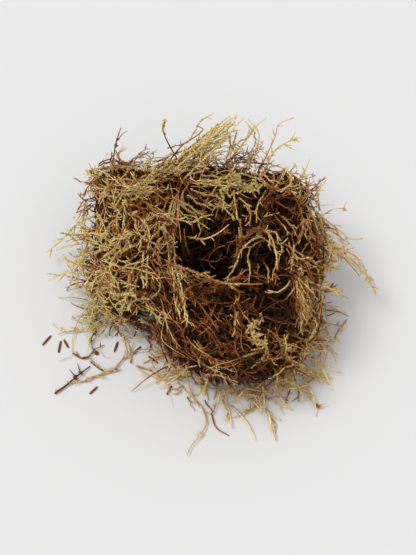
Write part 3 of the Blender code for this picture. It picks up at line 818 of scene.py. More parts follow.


# Old stems: deep ones under the face of the mound, and those of its heart, laid in straighter steps
# The deep stems' dark tint is partly their own old brown, partly painted shade
deep = {"count": 2400, "length": (20, 48), "depth": (-11, -4), "width": 1.9, "tint": (0.25, 0.06),
        "weave": 1.5, "lift": (-2, 0), "bend": 0.08, "stray": 0.12, "every": 3, "inset": 1.5,
        "widths": (0.6, 1.15), "span": (0.0, 0.6), "tip": 0.5, "thinLeft": (-60, 0.6)}
heart = {"count": 800, "length": (30, 60), "inset": 9.0, "width": 2.0, "step": 9.0, "bend": 0.2,
         "flatter": (1, 1, 0.55), "tip": 0.6}


def makeDeepStems(material):
    # Old brown stems matted together under the face of the mound, and loosely inside it
    draw = np.random.default_rng(5)
    bundle = Bundle(6)
    places, normals, _ = spreadPlaces(deep["count"], draw)
    left, missing = deep["thinLeft"]
    for place, normal in zip(places, normals):
        if isOpen(place) or (place[0] < left and draw.uniform() < missing):
            continue
        heading = draw.normal(0, 1, 3)
        if isSteep(heading, normal):
            continue
        points = wander(place, heading, draw.uniform(*deep["length"]), draw.uniform(*deep["depth"]),
                        deep, draw)[::deep["every"]]
        points = points[:1 + np.argmin([isUnder(point, deep["inset"]) for point in points] + [False])]
        if len(points) > 2:
            bundle.add(points, deep["width"] * draw.uniform(*deep["widths"]), tip=deep["tip"],
                       tint=draw.normal(*deep["tint"]), span=deep["span"],
                       gloom=tangle[regionOf(place)].get("gloom", 1.0))
    low, high = np.array(moundLow), np.array(moundHigh)
    made = 0
    while made < heart["count"]:
        point = draw.uniform(low, high)
        if not isUnder(point, heart["inset"]):
            continue
        way = unit(draw.normal(0, 1, 3) * heart["flatter"])
        points = [point]
        for _ in range(int(draw.uniform(*heart["length"]) / heart["step"])):
            way = unit(way + draw.normal(0, heart["bend"], 3))
            following = points[-1] + way * heart["step"]
            if not isUnder(following, heart["inset"]):
                break
            points.append(following)
        if len(points) < 3:
            continue
        bundle.add(points, heart["width"], tip=heart["tip"], tint=draw.normal(*deep["tint"]),
                   span=deep["span"])
        made += 1
    bundle.make("deepStems", material, ["moss_mound"])


mattedMoss = strandMaterial("mattedMoss")
makeDeepStems(mattedMoss)
makeTangle(mattedMoss)
makeSprigs(mattedMoss)
makeBareStems(mattedMoss)
print("stage: tangle")


# The kinds of stray shoot. Lengths and widths are in millimetres, angles in degrees.
shootKinds = {
    "plume": {"width": 1.0, "leaf": 1.4, "tint": 0.80, "fine": 4.5, "slot": "olive_moss"},
    "olive": {"width": 1.15, "leaf": 1.4, "tint": 0.83, "fine": 5.0, "slot": "olive_moss"},
    "pale": {"width": 1.4, "leaf": 1.3, "tint": 0.79, "fine": 12.0, "slot": "olive_moss"},
    "tan": {"width": 0.9, "leaf": 1.35, "tint": 0.69, "fine": 9.0, "slot": "tan_moss"},
    "ground": {"width": 1.1, "leaf": 0.95, "tint": 0.69, "fine": 12.0, "slot": "olive_moss"},
    # The rope's darker tint is partly its own dull brown, partly painted shade
    "rope": {"width": 0.95, "leaf": 1.9, "tint": 0.60, "fine": 9.0, "slot": "tan_moss"},
    "bare": {"width": 0.85, "leaf": 0, "tint": 0.62, "fine": 99, "slot": "olive_moss"},
    "wiry": {"width": 1.1, "leaf": 0, "tint": 0.36, "fine": 99, "slot": "red_brown_stem"},
    "root": {"width": 0.55, "leaf": 0, "tint": 0.66, "fine": 99, "slot": "tan_moss"},
    "bark": {"width": 1.3, "leaf": 0, "tint": 0.2, "fine": 99, "slot": "bark"},
}
fineHabit = {"twig": 5.0, "twigAngle": 34, "twigWidth": 0.6, "twigLeaf": 0.95, "wiggle": 0.1}
twigRules = {"angle": math.radians(38), "bareStart": 1.2, "bareStem": 1.4, "longest": 1.15,
             "shorter": 0.5, "width": 0.75, "bow": 0.12, "bowScatter": 0.25, "step": 2.0,
             "leafShare": 0.9, "paler": 0.03, "span": (0.2, 0.7)}

# Every stray shoot: its kind, its route across, up and height, the number and length of its side
# twigs, and its branches, as in the solids. A loose one doesn't grow out of the mound. Heads are
# knobs of short sprigs: across, up, height, size, tint, number of sprigs.
shoots = {
    "plume_shoot_1": ("plume", [(-22, 66, 60), (-8, 78, 75), (6, 90, 88), (18, 102, 98)],
        {"twigs": (5, 7)}),
    "plume_shoot_2": ("plume", [(-14, 62, 62), (-2, 74, 75), (10, 86, 86), (22, 99, 96)],
        {"twigs": (5, 7)}),
    "plume_shoot_3": ("plume", [(-20, 73, 58), (-7, 84, 68), (4, 93, 77), (13, 100, 86)],
        {"twigs": (3, 6)}),
    "hooked_shoot": ("wiry", [(-24, 76, 60), (-16, 82, 68), (-7, 88, 76), (-3, 92, 80), (-7, 94, 81)],
        {}),
    "crossing_shoot": ("olive", [(15, 80, 58), (24, 86, 66), (30, 94, 72), (36, 99, 76)],
        {"twigs": (2, 6), "branches": [[(28, 91, 70), (23, 97, 73)]]}),
    "rear_curl_shoot": ("tan", [(25, 73, 54), (31, 83, 56), (31, 91, 60), (25, 98, 62)],
        {"twigs": (1, 5)}),
    "rear_forked_shoot": ("tan", [(36, 74, 46), (41, 86, 50), (44, 95, 54), (53, 99, 56)],
        {"twigs": (2, 6)}),
    "rear_leaning_shoot": ("pale", [(36, 68, 52), (40, 77, 60), (47, 83, 66), (57, 87, 70)],
        {"twigs": (3, 6), "branches": [[(52, 86, 68), (57, 84, 70)], [(51, 85, 68), (54, 90, 71)],
        [(48, 82, 66), (54, 79, 67)]], "heads": [(54, 86, 69, 2.6, 0.82, 12)]}),
    "upper_right_shoot": ("tan", [(38, 52, 68), (45, 60, 70), (50, 69, 70)], {"twigs": (1, 5)}),
    "upper_right_fork": ("tan", [(55, 58, 58), (60, 66, 66), (63, 73, 71)], {"twigs": (1, 5)}),
    "right_rim_shoot": ("tan", [(61, 46, 52), (67, 52, 56), (73, 60, 60)], {"twigs": (1, 6)}),
    "headed_shoot": ("bare", [(71, 37, 42), (77, 42, 46), (85, 43, 50)], {"twigs": (1, 4),
        "branches": [[(84, 43, 50), (86, 47, 51)]], "heads": [(85, 42, 50, 1.8, 0.6, 12)]}),
    "forked_bud_twig": ("wiry", [(-60, 66, 60), (-58, 78, 72), (-57, 84, 77), (-54, 93, 84)],
        {"branches": [[(-57, 84, 77), (-53, 89, 80), (-50, 91, 82)]],
        "heads": [(-57, 82, 75, 2.2, 0.3, 16), (-56, 86, 78, 1.7, 0.16, 10),
        (-59, 70, 64, 2.0, 0.14, 8)]}),
    "star_tuft_shoot": ("olive", [(-62, 64, 58), (-68, 66, 61), (-72, 65, 62), (-76, 67, 63)],
        {"branches": [[(-71, 65, 62), (-74, 71, 65)], [(-71, 65, 62), (-76, 58, 59)]],
        "heads": [(-72, 65, 62, 3.0, 0.34, 9)]}),
    "seed_stalk": ("wiry", [(-17, 72, 64), (-26, 86, 80), (-28, 93, 87), (-27, 96, 90)],
        {"heads": [(-27, 97, 90, 2.3, 0.74, 20), (-28, 94, 87, 2.2, 0.7, 18),
        (-28, 91, 85, 1.8, 0.6, 10), (-27, 89, 83, 1.3, 0.2, 8)]}),
    "left_long_shoot": ("pale", [(-75, 39, 28), (-80, 34, 22), (-91, 23, 14), (-100, 16, 9)],
        {"twigs": (3, 7), "branches": [[(-97, 18, 11), (-98, 12, 8)]]}),
    "left_low_shoot": ("olive", [(-79, 22, 22), (-85, 20, 18), (-94, 17, 14)], {"twigs": (1, 5)}),
    "left_feather_shoot": ("olive", [(-75, 0, 32), (-81, 2, 30), (-89, 3, 26), (-99, -2, 20)],
        {"twigs": (5, 9), "branches": [[(-84, 1, 28), (-86, -6, 24), (-86, -9, 22)],
        [(-80, 0, 30), (-82, -6, 26), (-84, -11, 22)]]}),
    "left_upper_feather_shoot": ("olive", [(-75, 8, 38), (-81, 9, 38), (-87, 10, 37), (-93, 12, 35)],
        {"twigs": (3, 7)}),
    "left_side_shoot": ("olive", [(-77, 24, 46), (-82, 27, 46), (-89, 30, 44)], {"twigs": (2, 6)}),
    "ground_left_shoot": ("ground", [(-70, -31, 3), (-81, -33, 2), (-89, -33, 2), (-96, -29, 2)],
        {"twigs": (2, 7), "loose": True}),
    "hanging_root": ("root", [(-74, -14, 18), (-81, -28, 6), (-84, -38, 1.5), (-84, -47, 1.2),
        (-79, -50, 1.2)], {}),
    "green_red_shoot": ("olive", [(-66, -14, 20), (-60, -21, 16), (-53, -27, 12), (-47, -34, 6)],
        {"twigs": (2, 5)}),
    "fan_shoot_1": ("tan", [(66, 42, 50), (74, 35, 48), (83, 28, 44), (89, 24, 41), (96, 24, 39)],
        {"twigs": (3, 6)}),
    "fan_shoot_2": ("tan", [(71, 30, 44), (81, 18, 38), (88, 15, 35), (95, 10, 30), (100, -2, 20),
        (104, -10, 11)], {"twigs": (4, 7)}),
    "fan_shoot_3": ("tan", [(74, 17, 36), (83, 13, 29), (89, 7, 25), (94, 1, 20)], {"twigs": (1, 5)}),
    "fan_shoot_4": ("tan", [(52, 18, 66), (61, 11, 58), (71, 6, 47), (82, 5, 37)], {"twigs": (3, 6)}),
    "fan_shoot_5": ("tan", [(72, -1, 26), (82, -10, 17), (87, -13, 12)], {"twigs": (2, 5)}),
    "lower_right_shoot_1": ("tan", [(70, -13, 22), (78, -19, 14), (86, -22, 7)], {"twigs": (2, 6)}),
    "lower_right_shoot_2": ("tan", [(77, -41, 2), (81, -33, 3), (86, -28, 4)], {"twigs": (1, 5),
        "loose": True}),
    "lower_right_shoot_3": ("tan", [(64, -31, 14), (72, -39, 4), (80, -48, 1.5)], {"twigs": (2, 6)}),
    "lower_right_shoot_4": ("ground", [(57, -65, 2), (67, -61, 2), (75, -60, 2)], {"twigs": (2, 6)}),
    "bud_trailer": ("ground", [(50, -66, 3), (60, -71, 2), (65, -76, 2), (70, -81, 2)],
        {"twigs": (2, 5), "heads": [(68, -80, 2, 2.4, 0.42, 12)]}),
    "front_trailer": ("ground", [(-16, -66, 4), (-10, -73, 2), (-4, -80, 2), (-1, -89, 2), (-4, -97, 2),
        (-10, -104, 2), (-13, -110, 2)], {"twigs": (3, 5), "heads": [(-4, -97, 2, 1.8, 0.7, 10)]}),
    "brown_stalk": ("wiry", [(2, -84, 1.2), (5, -93, 1.2), (13, -98, 1.2)], {"loose": True}),
    "front_right_trailer": ("ground", [(34, -71, 3), (36, -82, 2), (40, -90, 2), (42, -101, 2)],
        {"twigs": (3, 5)}),
    "front_left_shoot": ("ground", [(-18, -65, 3), (-27, -63, 2), (-36, -60, 2), (-44, -56, 2)],
        {"twigs": (4, 7)}),
    "front_middle_shoot_1": ("ground", [(9, -72, 3), (13, -82, 2), (15, -93, 2)], {"twigs": (3, 5)}),
    "front_middle_shoot_2": ("ground", [(31, -77, 2), (25, -83, 2), (18, -86, 2)], {"twigs": (1, 5),
        "loose": True}),
    "front_middle_shoot_3": ("ground", [(43, -70, 3), (46, -76, 2), (52, -82, 2)], {"twigs": (2, 5)}),
    "litter_shoot_1": ("ground", [(-77, -64, 1.5), (-66, -60, 1.5), (-54, -57, 1.5)], {"twigs": (2, 6),
        "loose": True}),
    "litter_shoot_2": ("ground", [(-48, -53, 1.5), (-48, -46, 1.5), (-51, -38, 1.5)], {"twigs": (1, 6),
        "loose": True}),
    "bark_twig": ("bark", [(-95, -72, 1.2), (-88, -67, 1.4), (-81, -61, 1.6), (-73, -55, 1.3)],
        {"branches": [[(-82, -62, 1.6), (-86, -57, 1.3)], [(-79, -60, 1.6), (-81, -53, 1.3)]],
        "heads": [(-82, -62, 2.0, 2.4, 0.2, 14), (-79, -59, 2.0, 2.2, 0.3, 12),
        (-86, -65, 1.8, 1.8, 0.5, 8)], "loose": True}),
    "bridging_shoot": ("rope", [(-25, 9, 78), (-10, 4, 76), (8, -3, 75), (22, -4, 75), (33, -4, 74)],
        {"twigs": (3, 6)}),
    "hollow_rim_shoot": ("tan", [(-12, 25, 74), (-2, 24, 72), (7, 28, 74), (13, 33, 76)],
        {"twigs": (1, 6)}),
    "hollow_side_shoot": ("tan", [(31, 29, 76), (38, 27, 76), (42, 16, 76), (43, 5, 74)],
        {"twigs": (1, 6)}),
}
# A shoot starts at a depth in the mound, further back from the viewer than it comes out.
anchor = {"depth": 7, "inward": 0.4}
stemLook = {"tintScatter": 0.03, "tints": (0.05, 0.95), "tip": 0.6, "gloom": 0.5, "span": (0.1, 0.55),
            "twigSpan": (0.25, 0.85)}
headHabit = {"forward": 0.3, "sprig": (-0.2, 0.25, 0.7), "width": 0.32, "leaf": 0.35, "tip": 0.6,
             "tintScatter": 0.04, "tints": (0.03, 0.95)}    # sprig, width and leaf are shares of the size


def addHead(bundle, head, draw):
    across, up, height, size, tint, count = head
    middle = np.array(inFront(across, up, height))
    habit = headHabit
    for _ in range(count):
        way = unit(draw.normal(0, 1, 3) + habit["forward"] * np.array(towardsViewer))
        points = [middle + way * share * size for share in habit["sprig"]]
        shade = float(np.clip(draw.normal(tint, habit["tintScatter"]), *habit["tints"]))
        bundle.add(points, habit["width"] * size, tip=habit["tip"], leaf=habit["leaf"] * size,
                   gloom=0.0, tint=shade)


def makeShoots(materials):
    for number, (node, (kind, route, extras)) in enumerate(shoots.items()):
        look = shootKinds[kind]
        draw = np.random.default_rng(100 + number)
        bundle = Bundle(200 + number, sides=5)
        knots = [inFront(*point) for point in route]
        if not extras.get("loose"):
            knots[0] = rooted(*route[0])
            inward = (knots[0] - knots[1]).normalized() - anchor["inward"] * towardsViewer
            knots.insert(0, knots[0] + inward.normalized() * anchor["depth"])
        flat = max(knot.z for knot in knots[1:]) < tableReach
        plane = np.array((0, 0, 1)) if flat else np.array(towardsViewer)
        path = smoothRoute(knots, strand["step"])
        tint = look["tint"] + draw.normal(0, stemLook["tintScatter"])
        tint = float(np.clip(tint, *stemLook["tints"]))
        bundle.add(path, look["width"], tip=stemLook["tip"], leaf=look["leaf"], tint=tint,
                   gloom=stemLook["gloom"], span=stemLook["span"])
        twigs, twigLength = extras.get("twigs", (0, 0))
        side = []
        for place in range(twigs):
            share = (place + twigRules["bareStart"]) / (twigs + twigRules["bareStem"])
            root, ahead = placeOn(path, share)
            sideways = unit(np.cross(ahead, plane)) * (1 if place % 2 == 0 else -1)
            way = math.cos(twigRules["angle"]) * ahead + math.sin(twigRules["angle"]) * sideways
            length = twigLength * (twigRules["longest"] - twigRules["shorter"] * share)
            bow = twigRules["bow"] * length * ahead + draw.normal(0, twigRules["bowScatter"], 3)
            bends = [root, root + way * length / 2, root + way * length + bow]
            side.append((bends, tint + twigRules["paler"]))
        side += [([inFront(*point) for point in bends], tint) for bends in extras.get("branches", [])]
        for bends, sideTint in side:
            bundle.add(smoothRoute(bends, twigRules["step"]), twigRules["width"], tint=sideTint,
                       leaf=twigRules["leafShare"] * look["leaf"], span=twigRules["span"], gloom=0.0)
        if look["leaf"]:
            habit = {**fineHabit, "twigEvery": look["fine"]}
            branch(bundle, path, habit, draw, tint, share=stemLook["twigSpan"], plane=plane,
                   gloom=0.0)
        for head in extras.get("heads", []):
            addHead(bundle, head, draw)
        bundle.make("leafy_" + node, materials[look["slot"]], [node])


oliveMoss = strandMaterial("oliveMoss")
tanMoss = strandMaterial("tanMoss")
wiryStem = strandMaterial("redBrownStem", 0.55)
darkBark = strandMaterial("bark", 0.9)
makeShoots({"olive_moss": oliveMoss, "tan_moss": tanMoss, "red_brown_stem": wiryStem,
            "bark": darkBark})
print("stage: stray shoots")

# The strands that stand out in the photograph, each with its kind and its route: across and up, or
# across, up and height. In most groups copies of each strand run beside it.
strandKinds = {
    "tan": {"tint": 0.67, "width": 0.9, "leaf": 1.5, "twigEvery": 6.5},
    "pale": {"tint": 0.75, "width": 1.05, "leaf": 1.75, "twigEvery": 7.0},
    "olive": {"tint": 0.80, "width": 0.85, "leaf": 1.4, "twigEvery": 5.5},
    "yellow": {"tint": 0.86, "width": 0.95, "leaf": 0.9, "twigEvery": 10.0},
    "green": {"tint": 0.92, "width": 1.0, "leaf": 1.0, "twigEvery": 10.0},
    "orange": {"tint": 0.58, "width": 1.15, "leaf": 0.8, "twigEvery": 10.0},
    "rust": {"tint": 0.41, "width": 0.95, "leaf": 0.75, "twigEvery": 8.0},
    "brown": {"tint": 0.32, "width": 0.9, "leaf": 0.9, "twigEvery": 6.0},
    "root": {"tint": 0.64, "width": 0.4, "leaf": 0, "twigEvery": 99},
}
twigHabit = {"twig": 7.0, "twigAngle": 36, "twigWidth": 0.65, "twigLeaf": 1.0, "wiggle": 0.1}
tracedGroups = {
    "centre": {"copies": 1, "stray": 4.0, "lift": (2.5, 6.5), "slot": "matted_moss"},
    "left": {"copies": 2, "stray": 5.0, "lift": (1.5, 6.5), "slot": "matted_moss"},
    "front": {"copies": 2, "stray": 5.0, "lift": (1.0, 5.5), "slot": "matted_moss", "gloom": 0.5},
    "curtain": {"copies": 2, "stray": 2.5, "lift": (-1.5, 3.0), "slot": "matted_moss", "gloom": 0.8},
    "rightFan": {"copies": 2, "stray": 3.5, "lift": (1.5, 7.0), "slot": "tan_moss"},
    "plume": {"copies": 1, "stray": 3.5, "lift": (2.0, 6.0), "slot": "olive_moss",
        "habit": {"twigEvery": 9.0, "twigAngle": 24}},
    "topRight": {"copies": 0, "stray": 3.5, "lift": (1.0, 6.0), "slot": "matted_moss", "gloom": 0.0},
    "ground": {"copies": 0, "stray": 3.0, "lift": (0.5, 3.0), "slot": "olive_moss"},
}
traces = {
    "centre": [
        ("green", [(-16, 39), (-9, 38), (-4, 33), (1, 30)]), ("tan", [(-15, 46), (-7, 41), (3, 35)]),
        ("pale", [(-13, 51), (-6, 46), (2, 45)]), ("tan", [(-11, 55), (-3, 52), (7, 50)]),
        ("pale", [(7, 54), (9, 51), (9, 46)]), ("pale", [(16, 51), (17, 44), (18, 36)]),
        ("tan", [(4, 46), (11, 42), (17, 36)]), ("tan", [(-12, 59), (-16, 51), (-18, 42), (-20, 29)]),
        ("pale", [(-22, 48), (-25, 36), (-28, 31), (-25, 20), (-24, 8), (-20, -1), (-16, -14),
                  (-13, -25), (-10, -30)]),
        ("tan", [(-17, 0), (-10, -2), (-2, -2)]), ("yellow", [(25, 12), (26, 5), (25, -4)]),
        ("yellow", [(18, 10), (14, 3), (11, -3)]), ("tan", [(19, 31), (20, 21), (19, 10)]),
        ("brown", [(22, 24), (19, 15), (16, 6), (12, -2)]), ("pale", [(-5, 61), (8, 59), (20, 57)]),
        ("pale", [(26, 62), (32, 61), (37, 57)]), ("tan", [(35, 31), (34, 36), (37, 38), (44, 40)]),
        ("pale", [(30, 27), (37, 29), (41, 28), (45, 23)]),
        ("tan", [(30, 26), (35, 24), (41, 19), (43, 11), (41, 5), (40, -2)]),
        ("green", [(69, 7), (76, 6), (82, 5)]), ("tan", [(53, 16), (52, 8), (51, 3)]),
        ("tan", [(51, 9), (56, 7), (61, 4)]), ("rust", [(42, 47), (49, 43), (55, 39)]),
        ("tan", [(45, 53), (52, 59)]), ("green", [(51, -2), (47, -7), (42, -9), (37, -8)]),
        ("tan", [(34, 23), (28, 20), (25, 14), (25, 7)]),
        ("pale", [(33, 26), (27, 23), (21, 18), (18, 10), (15, 3)]),
        ("orange", [(50, 22), (54, 14), (62, 9), (71, 4)]), ("brown", [(-5, 11), (4, 10), (11, 13)]),
        ("rust", [(-1, 10), (4, 17), (11, 20)]), ("tan", [(36, 54), (31, 45), (30, 34)]),
        ("brown", [(46, 51), (38, 45), (33, 38)]), ("tan", [(22, 45), (26, 40), (26, 32)]),
        ("tan", [(57, 40), (59, 31), (56, 21)]), ("rust", [(63, 34), (63, 24), (58, 15)]),
        ("tan", [(46, 38), (51, 33), (55, 26)]),
    ],
    "left": [
        ("brown", [(-68, 69), (-60, 72), (-50, 71), (-41, 76), (-34, 77)]),
        ("tan", [(-68, 67), (-56, 69), (-44, 68), (-32, 65)]),
        ("olive", [(-73, 54), (-60, 50), (-49, 51), (-33, 53)]),
        ("tan", [(-61, 54), (-47, 55), (-33, 53)]),
        ("pale", [(-48, 54), (-40, 60), (-32, 66), (-17, 72), (-2, 79)]),
        ("rust", [(-43, 50), (-34, 42), (-26, 36)]), ("tan", [(-22, 47), (-25, 36), (-29, 30)]),
        ("olive", [(-78, 36), (-76, 28), (-72, 26)]), ("olive", [(-68, 40), (-65, 34), (-63, 26)]),
        ("olive", [(-81, 25), (-70, 21), (-60, 18)]), ("olive", [(-81, 16), (-70, 16), (-60, 20)]),
        ("tan", [(-40, 24), (-32, 21), (-24, 21)]), ("pale", [(-37, 14), (-38, 5), (-38, -6)]),
        ("pale", [(-56, 5), (-60, -4), (-58, -10), (-53, -12)]),
        ("green", [(-31, 69), (-25, 69), (-19, 68)]), ("tan", [(-69, 62), (-72, 54), (-68, 48)]),
        ("olive", [(-59, 60), (-64, 54), (-68, 46)]), ("tan", [(-51, 48), (-56, 39), (-57, 28)]),
        ("olive", [(-48, 23), (-55, 16), (-64, 10)]), ("tan", [(-42, 11), (-48, 3), (-50, -7)]),
        ("olive", [(-33, 33), (-40, 26), (-43, 17)]), ("rust", [(-35, 10), (-30, 2), (-22, -2)]),
        ("tan", [(-67, 10), (-61, 2), (-59, -8)]), ("tan", [(-45, 39), (-38, 33), (-36, 23)]),
        ("brown", [(-69, 46), (-74, 42), (-79, 36)]), ("olive", [(-72, 31), (-65, 26), (-61, 23)]),
        ("tan", [(-74, 5), (-67, 2), (-60, -5)]), ("olive", [(-76, -4), (-69, -9), (-64, -16)]),
    ],
    "front": [
        ("rust", [(-16, -3), (-7, -14), (1, -26), (7, -34)]), ("rust", [(4, -4), (-2, -9), (-9, -15)]),
        ("pale", [(17, -11), (19, -18), (24, -25), (27, -29)]),
        ("pale", [(19, -16), (22, -15), (26, -13)]), ("pale", [(19, -21), (17, -26), (16, -36)]),
        ("rust", [(24, -22), (33, -24), (45, -28), (55, -29)]),
        ("tan", [(30, -52), (42, -50), (56, -49)]), ("rust", [(-5, -14), (7, -16), (20, -14)]),
        ("rust", [(-13, -25), (-4, -30), (4, -39), (9, -49)]),
        ("brown", [(-8, -42), (4, -46), (20, -46)]), ("rust", [(9, -19), (4, -28), (-6, -36)]),
        ("rust", [(24, -33), (15, -40), (4, -44)]), ("rust", [(38, -33), (36, -42), (38, -51)]),
        ("tan", [(40, -34), (46, -42), (55, -45)]), ("brown", [(11, -24), (15, -33), (24, -39)]),
        ("rust", [(-19, -14), (-14, -24), (-15, -35)]), ("tan", [(30, -11), (27, -18), (22, -22)]),
        ("brown", [(46, -14), (40, -17), (33, -21)]), ("rust", [(-2, -48), (9, -52), (22, -54)]),
        ("tan", [(-10, -46), (-1, -55), (11, -60)]), ("rust", [(48, -33), (57, -38), (67, -41)]),
        ("tan", [(58, -42), (68, -45), (74, -46)]), ("rust", [(61, -49), (68, -52), (75, -57)]),
        ("rust", [(-17, -36), (-10, -42), (-4, -51)]),
    ],
    "curtain": [
        ("tan", [(54, 2), (55, -8), (55, -21)]), ("pale", [(56, 3), (58, -8), (57, -24)]),
        ("rust", [(59, 2), (60, -9), (59, -28)]), ("pale", [(61, 1), (62, -10), (61, -25)]),
        ("tan", [(64, -2), (64, -11), (65, -21)]), ("orange", [(58, -4), (60, -14), (64, -24)]),
        ("pale", [(55, -2), (57, -13), (60, -21)]), ("olive", [(64, -14), (61, -23), (57, -30)]),
        ("olive", [(57, -18), (60, -25), (65, -30)]), ("olive", [(55, -21), (58, -28), (57, -34)]),
        ("tan", [(66, 0), (68, -9), (67, -18)]), ("brown", [(53, -8), (51, -16), (54, -25)]),
    ],
    "rightFan": [
        ("tan", [(61, 45), (67, 34), (74, 23), (84, 14), (94, 5), (100, -2), (104, -9)]),
        ("tan", [(64, 43), (71, 34), (79, 27), (88, 21)]),
        ("tan", [(66, 53), (71, 44), (73, 34), (79, 23)]), ("pale", [(68, 54), (73, 46), (74, 38)]),
        ("tan", [(71, 39), (77, 32), (86, 27), (89, 18)]), ("olive", [(84, 14), (88, 10), (95, 3)]),
        ("tan", [(68, 33), (73, 23), (76, 13), (76, 5)]), ("tan", [(71, 38), (71, 20), (72, 6)]),
        ("pale", [(76, 29), (81, 20), (87, 16), (93, 16)]), ("tan", [(71, 6), (76, 10), (82, 10)]),
        ("tan", [(82, 6), (78, 1), (76, -3), (82, -10)]), ("rust", [(65, 34), (68, 23), (68, 12)]),
        ("tan", [(61, 39), (64, 28), (71, 20), (79, 13)]),
        ("brown", [(73, 40), (81, 31), (88, 26), (95, 24)]),
        ("tan", [(69, 24), (77, 17), (87, 13), (95, 10)]), ("tan", [(64, -7), (73, -10), (82, -11)]),
        ("rust", [(67, 14), (71, 6), (71, -3)]), ("tan", [(73, -2), (79, 1), (84, 5)]),
    ],
    "plume": [
        ("pale", [(-36, 63, 55), (-22, 71, 62), (-7, 81, 74), (6, 91, 86), (19, 100, 96)]),
        ("pale", [(-30, 64, 57), (-17, 70, 64), (-4, 80, 75), (9, 89, 86), (17, 97, 93)]),
        ("tan", [(-35, 67, 56), (-21, 73, 64), (-6, 83, 76), (4, 91, 85)]),
        ("olive", [(-24, 65, 60), (-11, 72, 66), (1, 81, 76), (14, 90, 86)]),
        ("pale", [(-26, 68, 59), (-14, 75, 67), (-1, 84, 78), (11, 95, 90)]),
        ("tan", [(-20, 67, 60), (-7, 73, 68), (5, 82, 77), (16, 88, 82)]),
        ("olive", [(-17, 73, 63), (-7, 80, 72), (1, 88, 81), (9, 96, 90)]),
        ("pale", [(-31, 60, 54), (-16, 67, 61), (-2, 74, 70), (9, 79, 75)]),
        ("tan", [(-15, 65, 61), (-1, 72, 68), (11, 78, 74), (22, 79, 74)]),
        ("rust", [(-20, 69, 60), (-12, 77, 66), (-7, 82, 72), (-4, 86, 77)]),
        ("yellow", [(-5, 79, 74), (2, 85, 80), (11, 91, 87), (16, 95, 91)]),
        ("tan", [(-38, 59, 52), (-25, 64, 58), (-11, 69, 64), (0, 75, 70)]),
        ("pale", [(-9, 74, 68), (0, 78, 73), (9, 85, 81), (16, 92, 88)]),
    ],
    "topRight": [
        ("tan", [(13, 88, 82), (14, 82, 76), (12, 74, 68), (12, 67, 62)]),
        ("tan", [(18, 91, 84), (16, 84, 77), (14, 75, 69), (15, 68, 63)]),
        ("tan", [(29, 91, 76), (29, 83, 68), (26, 75, 62), (24, 67, 60)]),
        ("tan", [(14, 81, 74), (23, 86, 72), (29, 93, 72)]),
        ("brown", [(12, 73, 62), (20, 77, 60), (29, 78, 56), (35, 81, 52)]),
        ("brown", [(9, 68, 60), (16, 74, 60), (25, 75, 57), (33, 78, 52)]),
        ("brown", [(11, 70, 60), (21, 73, 58), (31, 72, 55)]),
        ("brown", [(16, 65, 60), (20, 73, 58), (27, 79, 56)]),
        ("tan", [(23, 63, 60), (27, 72, 58), (32, 80, 54), (34, 85, 52)]),
        ("tan", [(27, 62, 60), (33, 70, 57), (37, 79, 52)]),
        ("tan", [(35, 63, 60), (41, 68, 60), (50, 64, 58), (58, 63, 54)]),
        ("rust", [(33, 69, 58), (38, 65, 60), (47, 63, 60), (55, 57, 58)]),
        ("tan", [(6, 63, 61), (5, 72, 66), (2, 79, 72)]),
        ("tan", [(17, 63, 61), (10, 69, 64), (5, 75, 70)]),
        ("brown", [(37, 62, 60), (45, 58, 60), (56, 59, 56), (64, 54, 52)]),
        ("tan", [(48, 54, 60), (57, 55, 57), (64, 57, 54)]),
        ("rust", [(51, 48, 60), (60, 51, 56), (66, 54, 53)]),
        ("tan", [(24, 80, 62), (25, 73, 60), (20, 64, 61)]),
    ],
    "ground": [
        ("yellow", [(-30, -3), (-30, -8), (-36, -13), (-44, -14), (-49, -18)]),
        ("tan", [(-50, -10, 16), (-53, -17, 8), (-52, -24, 4), (-47, -26, 3), (-43, -20, 8)]),
        ("tan", [(-50, -25, 2), (-41, -28, 3), (-33, -31, 5), (-29, -26, 9), (-27, -21, 14)]),
        ("tan", [(-61, -28, 3), (-55, -34, 2), (-52, -37, 1.5), (-50, -49, 1.5)]),
        ("olive", [(-63, -18, 5), (-69, -25, 3), (-74, -30, 1.5)]),
        ("tan", [(-56, -57, 1.5), (-66, -60, 1.5), (-76, -64, 1.5), (-84, -65, 1.3), (-95, -70, 1.2)]),
        ("tan", [(-58, -57, 1.2), (-53, -51, 1.5), (-44, -46, 2), (-35, -44, 3)]),
        ("tan", [(-45, -55, 1.5), (-37, -57, 1.5), (-28, -62, 2), (-17, -62, 2)]),
        ("olive", [(-37, -46, 2), (-29, -51, 3), (-20, -52, 4)]),
        ("rust", [(-74, -50, 1.2), (-79, -49, 1.2), (-84, -47, 1.2)]),
        ("brown", [(-84, -47, 1.2), (-76, -50, 1.5), (-69, -44, 1.5), (-64, -42, 1.5)]),
        ("olive", [(-74, -50, 2), (-69, -54, 2), (-64, -58, 2)]),
        ("root", [(-76, -18, 8), (-81, -28, 2), (-83, -38, 1.2), (-84, -46, 1.2)]),
        ("root", [(-25, -63, 1.5), (-24, -71, 1.2), (-22, -81, 1.2)]),
        ("root", [(-67, -45, 1.2), (-63, -50, 1.2), (-58, -50, 1.2)]),
        ("root", [(-92, -52, 1.2), (-87, -50, 1.2), (-82, -46, 1.2)]),
        ("tan", [(-15, -67, 1.5), (-20, -69, 1.5), (-23, -69, 1.2)]),
        ("tan", [(-16, -70, 1.5), (-19, -72, 1.2), (-22, -72, 1.2)]),
        ("rust", [(-13, -74, 1.5), (-11, -78, 1.5), (-8, -83, 1.5)]),
        ("rust", [(-2, -76, 2), (3, -83, 2), (5, -77, 2)]),
        ("orange", [(9, -76, 2), (12, -84, 2), (10, -91, 1.5)]),
        ("orange", [(31, -79, 2), (25, -83, 2), (16, -87, 1.5)]),
        ("yellow", [(29, -69, 3), (32, -77, 2), (33, -85, 1.5)]),
        ("orange", [(36, -73, 3), (36, -83, 2), (41, -90, 1.5), (42, -101, 1.3)]),
